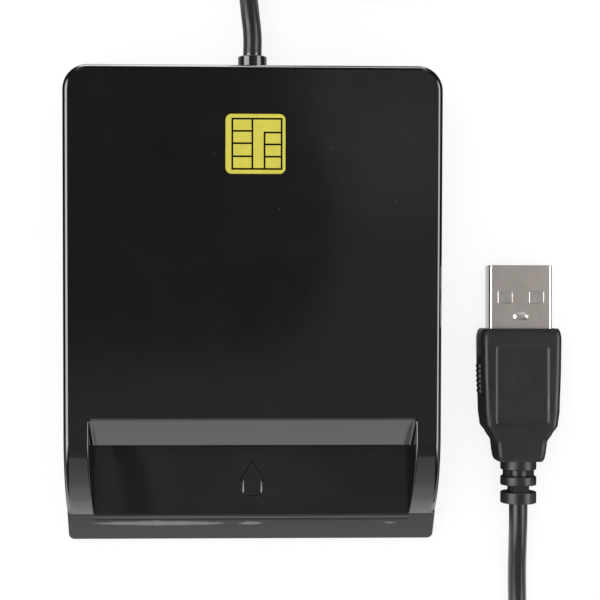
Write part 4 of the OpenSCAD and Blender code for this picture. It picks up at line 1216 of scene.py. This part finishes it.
def white_table():
    finish, shader, place = new_finish("table_white")
    shader.inputs["Roughness"].default_value = 0.9
    shader.inputs["Specular IOR Level"].default_value = 0
    shader.inputs["Emission Color"].default_value = (1, 1, 1, 1)
    seen, glossy = ray_kinds(finish.node_tree)
    grey = blend_of(glossy, blend_of(seen, table_grey, seen_grey), 0.0)
    tint = add_node("CombineColor", {"Red": grey, "Green": grey, "Blue": grey})
    feed(shader, "Base Color", tint.outputs[0])
    glow = blend_of(glossy, times(seen, seen_glow), table_cards(place))
    feed(shader, "Emission Strength", glow)
    return finish


table.data.materials.append(white_table())

# The studio is a white tent with a dim ceiling round the lens.
# Bright strips stand low behind and at both sides, and they show only in glossy surfaces.
# Three small lamps in front leave the long and the short gleams on the lip.
tent_level = 0.85
dark_level = 0.06
front_wall = [(0, 1.8), (0.07, 1.58), (0.17, 1.52), (0.33, 1.48), (0.47, 1.12), (0.75, 0.84),
              (0.9, 0.8), (1, 0.8)]
front_wall_end = (0.1, 0.35)
lip_lamps = [((-0.0395, 0.3395), (0.0455, 0.0105)), ((0.0245, 0.339), (0.0078, 0.009)),
             ((0.1237, 0.337), (0.0034, 0.0045))]
lip_lamp_level = 3.3
lip_lamp_rim = (1.15, 0.85)
left_strip = (0.3, 0.38, 9)
right_strip_foot = (0.36, 0.44)
right_strip_top = (0.82, 0.74)
right_level = 8
side_wall = (0.82, 0.94)
rear_strip = (0.17, 0.13, 9)
rear_wall = (0.88, 0.97)
ceiling_end = (0.85, 0.868)
ceiling_edge = [(0, 0.05), (0.17, 0.05), (0.215, 0.086), (0.3, 0.084), (0.335, 0.064), (1, 0.06)]
ceiling_edge_shift = 0.2
ceiling_edge_soft = (-0.008, 0.008)
left_ceiling = (0.1, 0.27)
left_ceiling_fall = (-0.01, -0.07)
right_ceiling = (0.36, 0.26)
right_ceiling_fall = (0.13, -0.05)
cloud_size = 1 / 14
cloud_levels = (0.8, 1.2)
stripe_left = (-0.076, -0.066)
stripe_right = (-0.045, -0.055)
stripe_end = (-0.085, -0.115)
stripe_pivot = 0.134
stripe_slant = 0.17
stripe_level = 0.07


def level_curve(value, knots, top):
    """A level that follows the knots (value, level) in straight lines, none above the top."""
    curve = add_node("FloatCurve", {"Value": value})
    line = curve.mapping.curves[0]
    for place, level in knots[1:-1]:
        line.points.new(place, level / top)
    for point, (place, level) in zip(line.points, knots):
        point.location = (place, level / top)
        point.handle_type = "VECTOR"
    curve.mapping.update()
    return times(curve.outputs[0], top)


def lamp_spot(x, z, middle, reach):
    """A small oval lamp at a direction, given by its x and z."""
    across = over(minus(x, middle[0]), reach[0])
    up = over(minus(z, middle[1]), reach[1])
    return steps_by(plus(times(across, across), times(up, up)), *lip_lamp_rim)


def walls(x, y, z):
    """The wall ahead with its lamps, then the sides and the rear, by the way x, y, z."""
    slope = maths(plus(times(times(z, z), -1), 1), 0.5, "POWER")
    level = maths(slope, 0.02, "MAXIMUM")
    east = over(x, level)
    north = over(y, level)
    ahead = level_curve(z, front_wall, 4)
    for middle, reach in lip_lamps:
        ahead = plus(ahead, times(lamp_spot(x, z, middle, reach), lip_lamp_level))
    left = plus(card(z, *left_strip), dark_level)
    strip = times(steps_by(z, *right_strip_foot), steps_by(z, *right_strip_top))
    right = plus(times(strip, right_level), dark_level)
    rear = plus(card(z, *rear_strip), dark_level)
    ring = blend_of(steps_by(times(east, east), *front_wall_end), ahead, dark_level)
    ring = blend_of(steps_by(times(east, -1), *side_wall), ring, left)
    ring = blend_of(steps_by(east, *side_wall), ring, right)
    return blend_of(steps_by(north, *rear_wall), ring, rear)


def ceiling(way, x, y, z):
    """Dim on the left of a crooked edge and lighter on the right, with one dark stripe."""
    high = maths(z, 0.1, "MAXIMUM")
    lean_x = over(x, high)
    lean_y = over(y, high)
    edge = level_curve(plus(lean_y, ceiling_edge_shift), ceiling_edge, 0.1)
    left = blend_of(steps_by(lean_y, *left_ceiling_fall), *left_ceiling)
    right = blend_of(steps_by(lean_y, *right_ceiling_fall), *right_ceiling)
    past_edge = steps_by(minus(lean_x, edge), *ceiling_edge_soft)
    cloud = drift(way, cloud_size, *cloud_levels, 1.5)
    overhead = times(blend_of(past_edge, left, right), cloud)
    slant = times(plus(lean_y, stripe_pivot), stripe_slant)
    place = plus(lean_x, slant)
    stripe = times(steps_by(place, *stripe_left), steps_by(place, *stripe_right))
    stripe = times(stripe, steps_by(lean_y, *stripe_end))
    return blend_of(stripe, overhead, stripe_level)


def studio():
    world = bpy.data.worlds.new("studio")
    world.use_nodes = True
    bpy.context.scene.world = world
    tree = world.node_tree
    backdrop = tree.nodes["Background"]
    way = add_node("TexCoord", {}, tree).outputs["Generated"]
    parts = add_node("SeparateXYZ", {"Vector": way})
    x, y, z = (parts.outputs[k] for k in "XYZ")
    mirrored = blend_of(steps_by(z, *ceiling_end), walls(x, y, z), ceiling(way, x, y, z))
    seen, glossy = ray_kinds(tree)
    feed(backdrop, "Strength", blend_of(seen, blend_of(glossy, tent_level, mirrored), 1.0))
    backdrop.inputs["Color"].default_value = (1, 1, 1, 1)


studio()
key = bpy.data.lights.new("key", "AREA")
key.size = 0.6
key.energy = 1.6
key_stand = place_object("key", key)
key_stand.location = (-0.35, 0.25, 0.8)
key_stand.rotation_euler = (-key_stand.location).to_track_quat("-Z", "Y").to_euler()
key_stand.visible_glossy = False
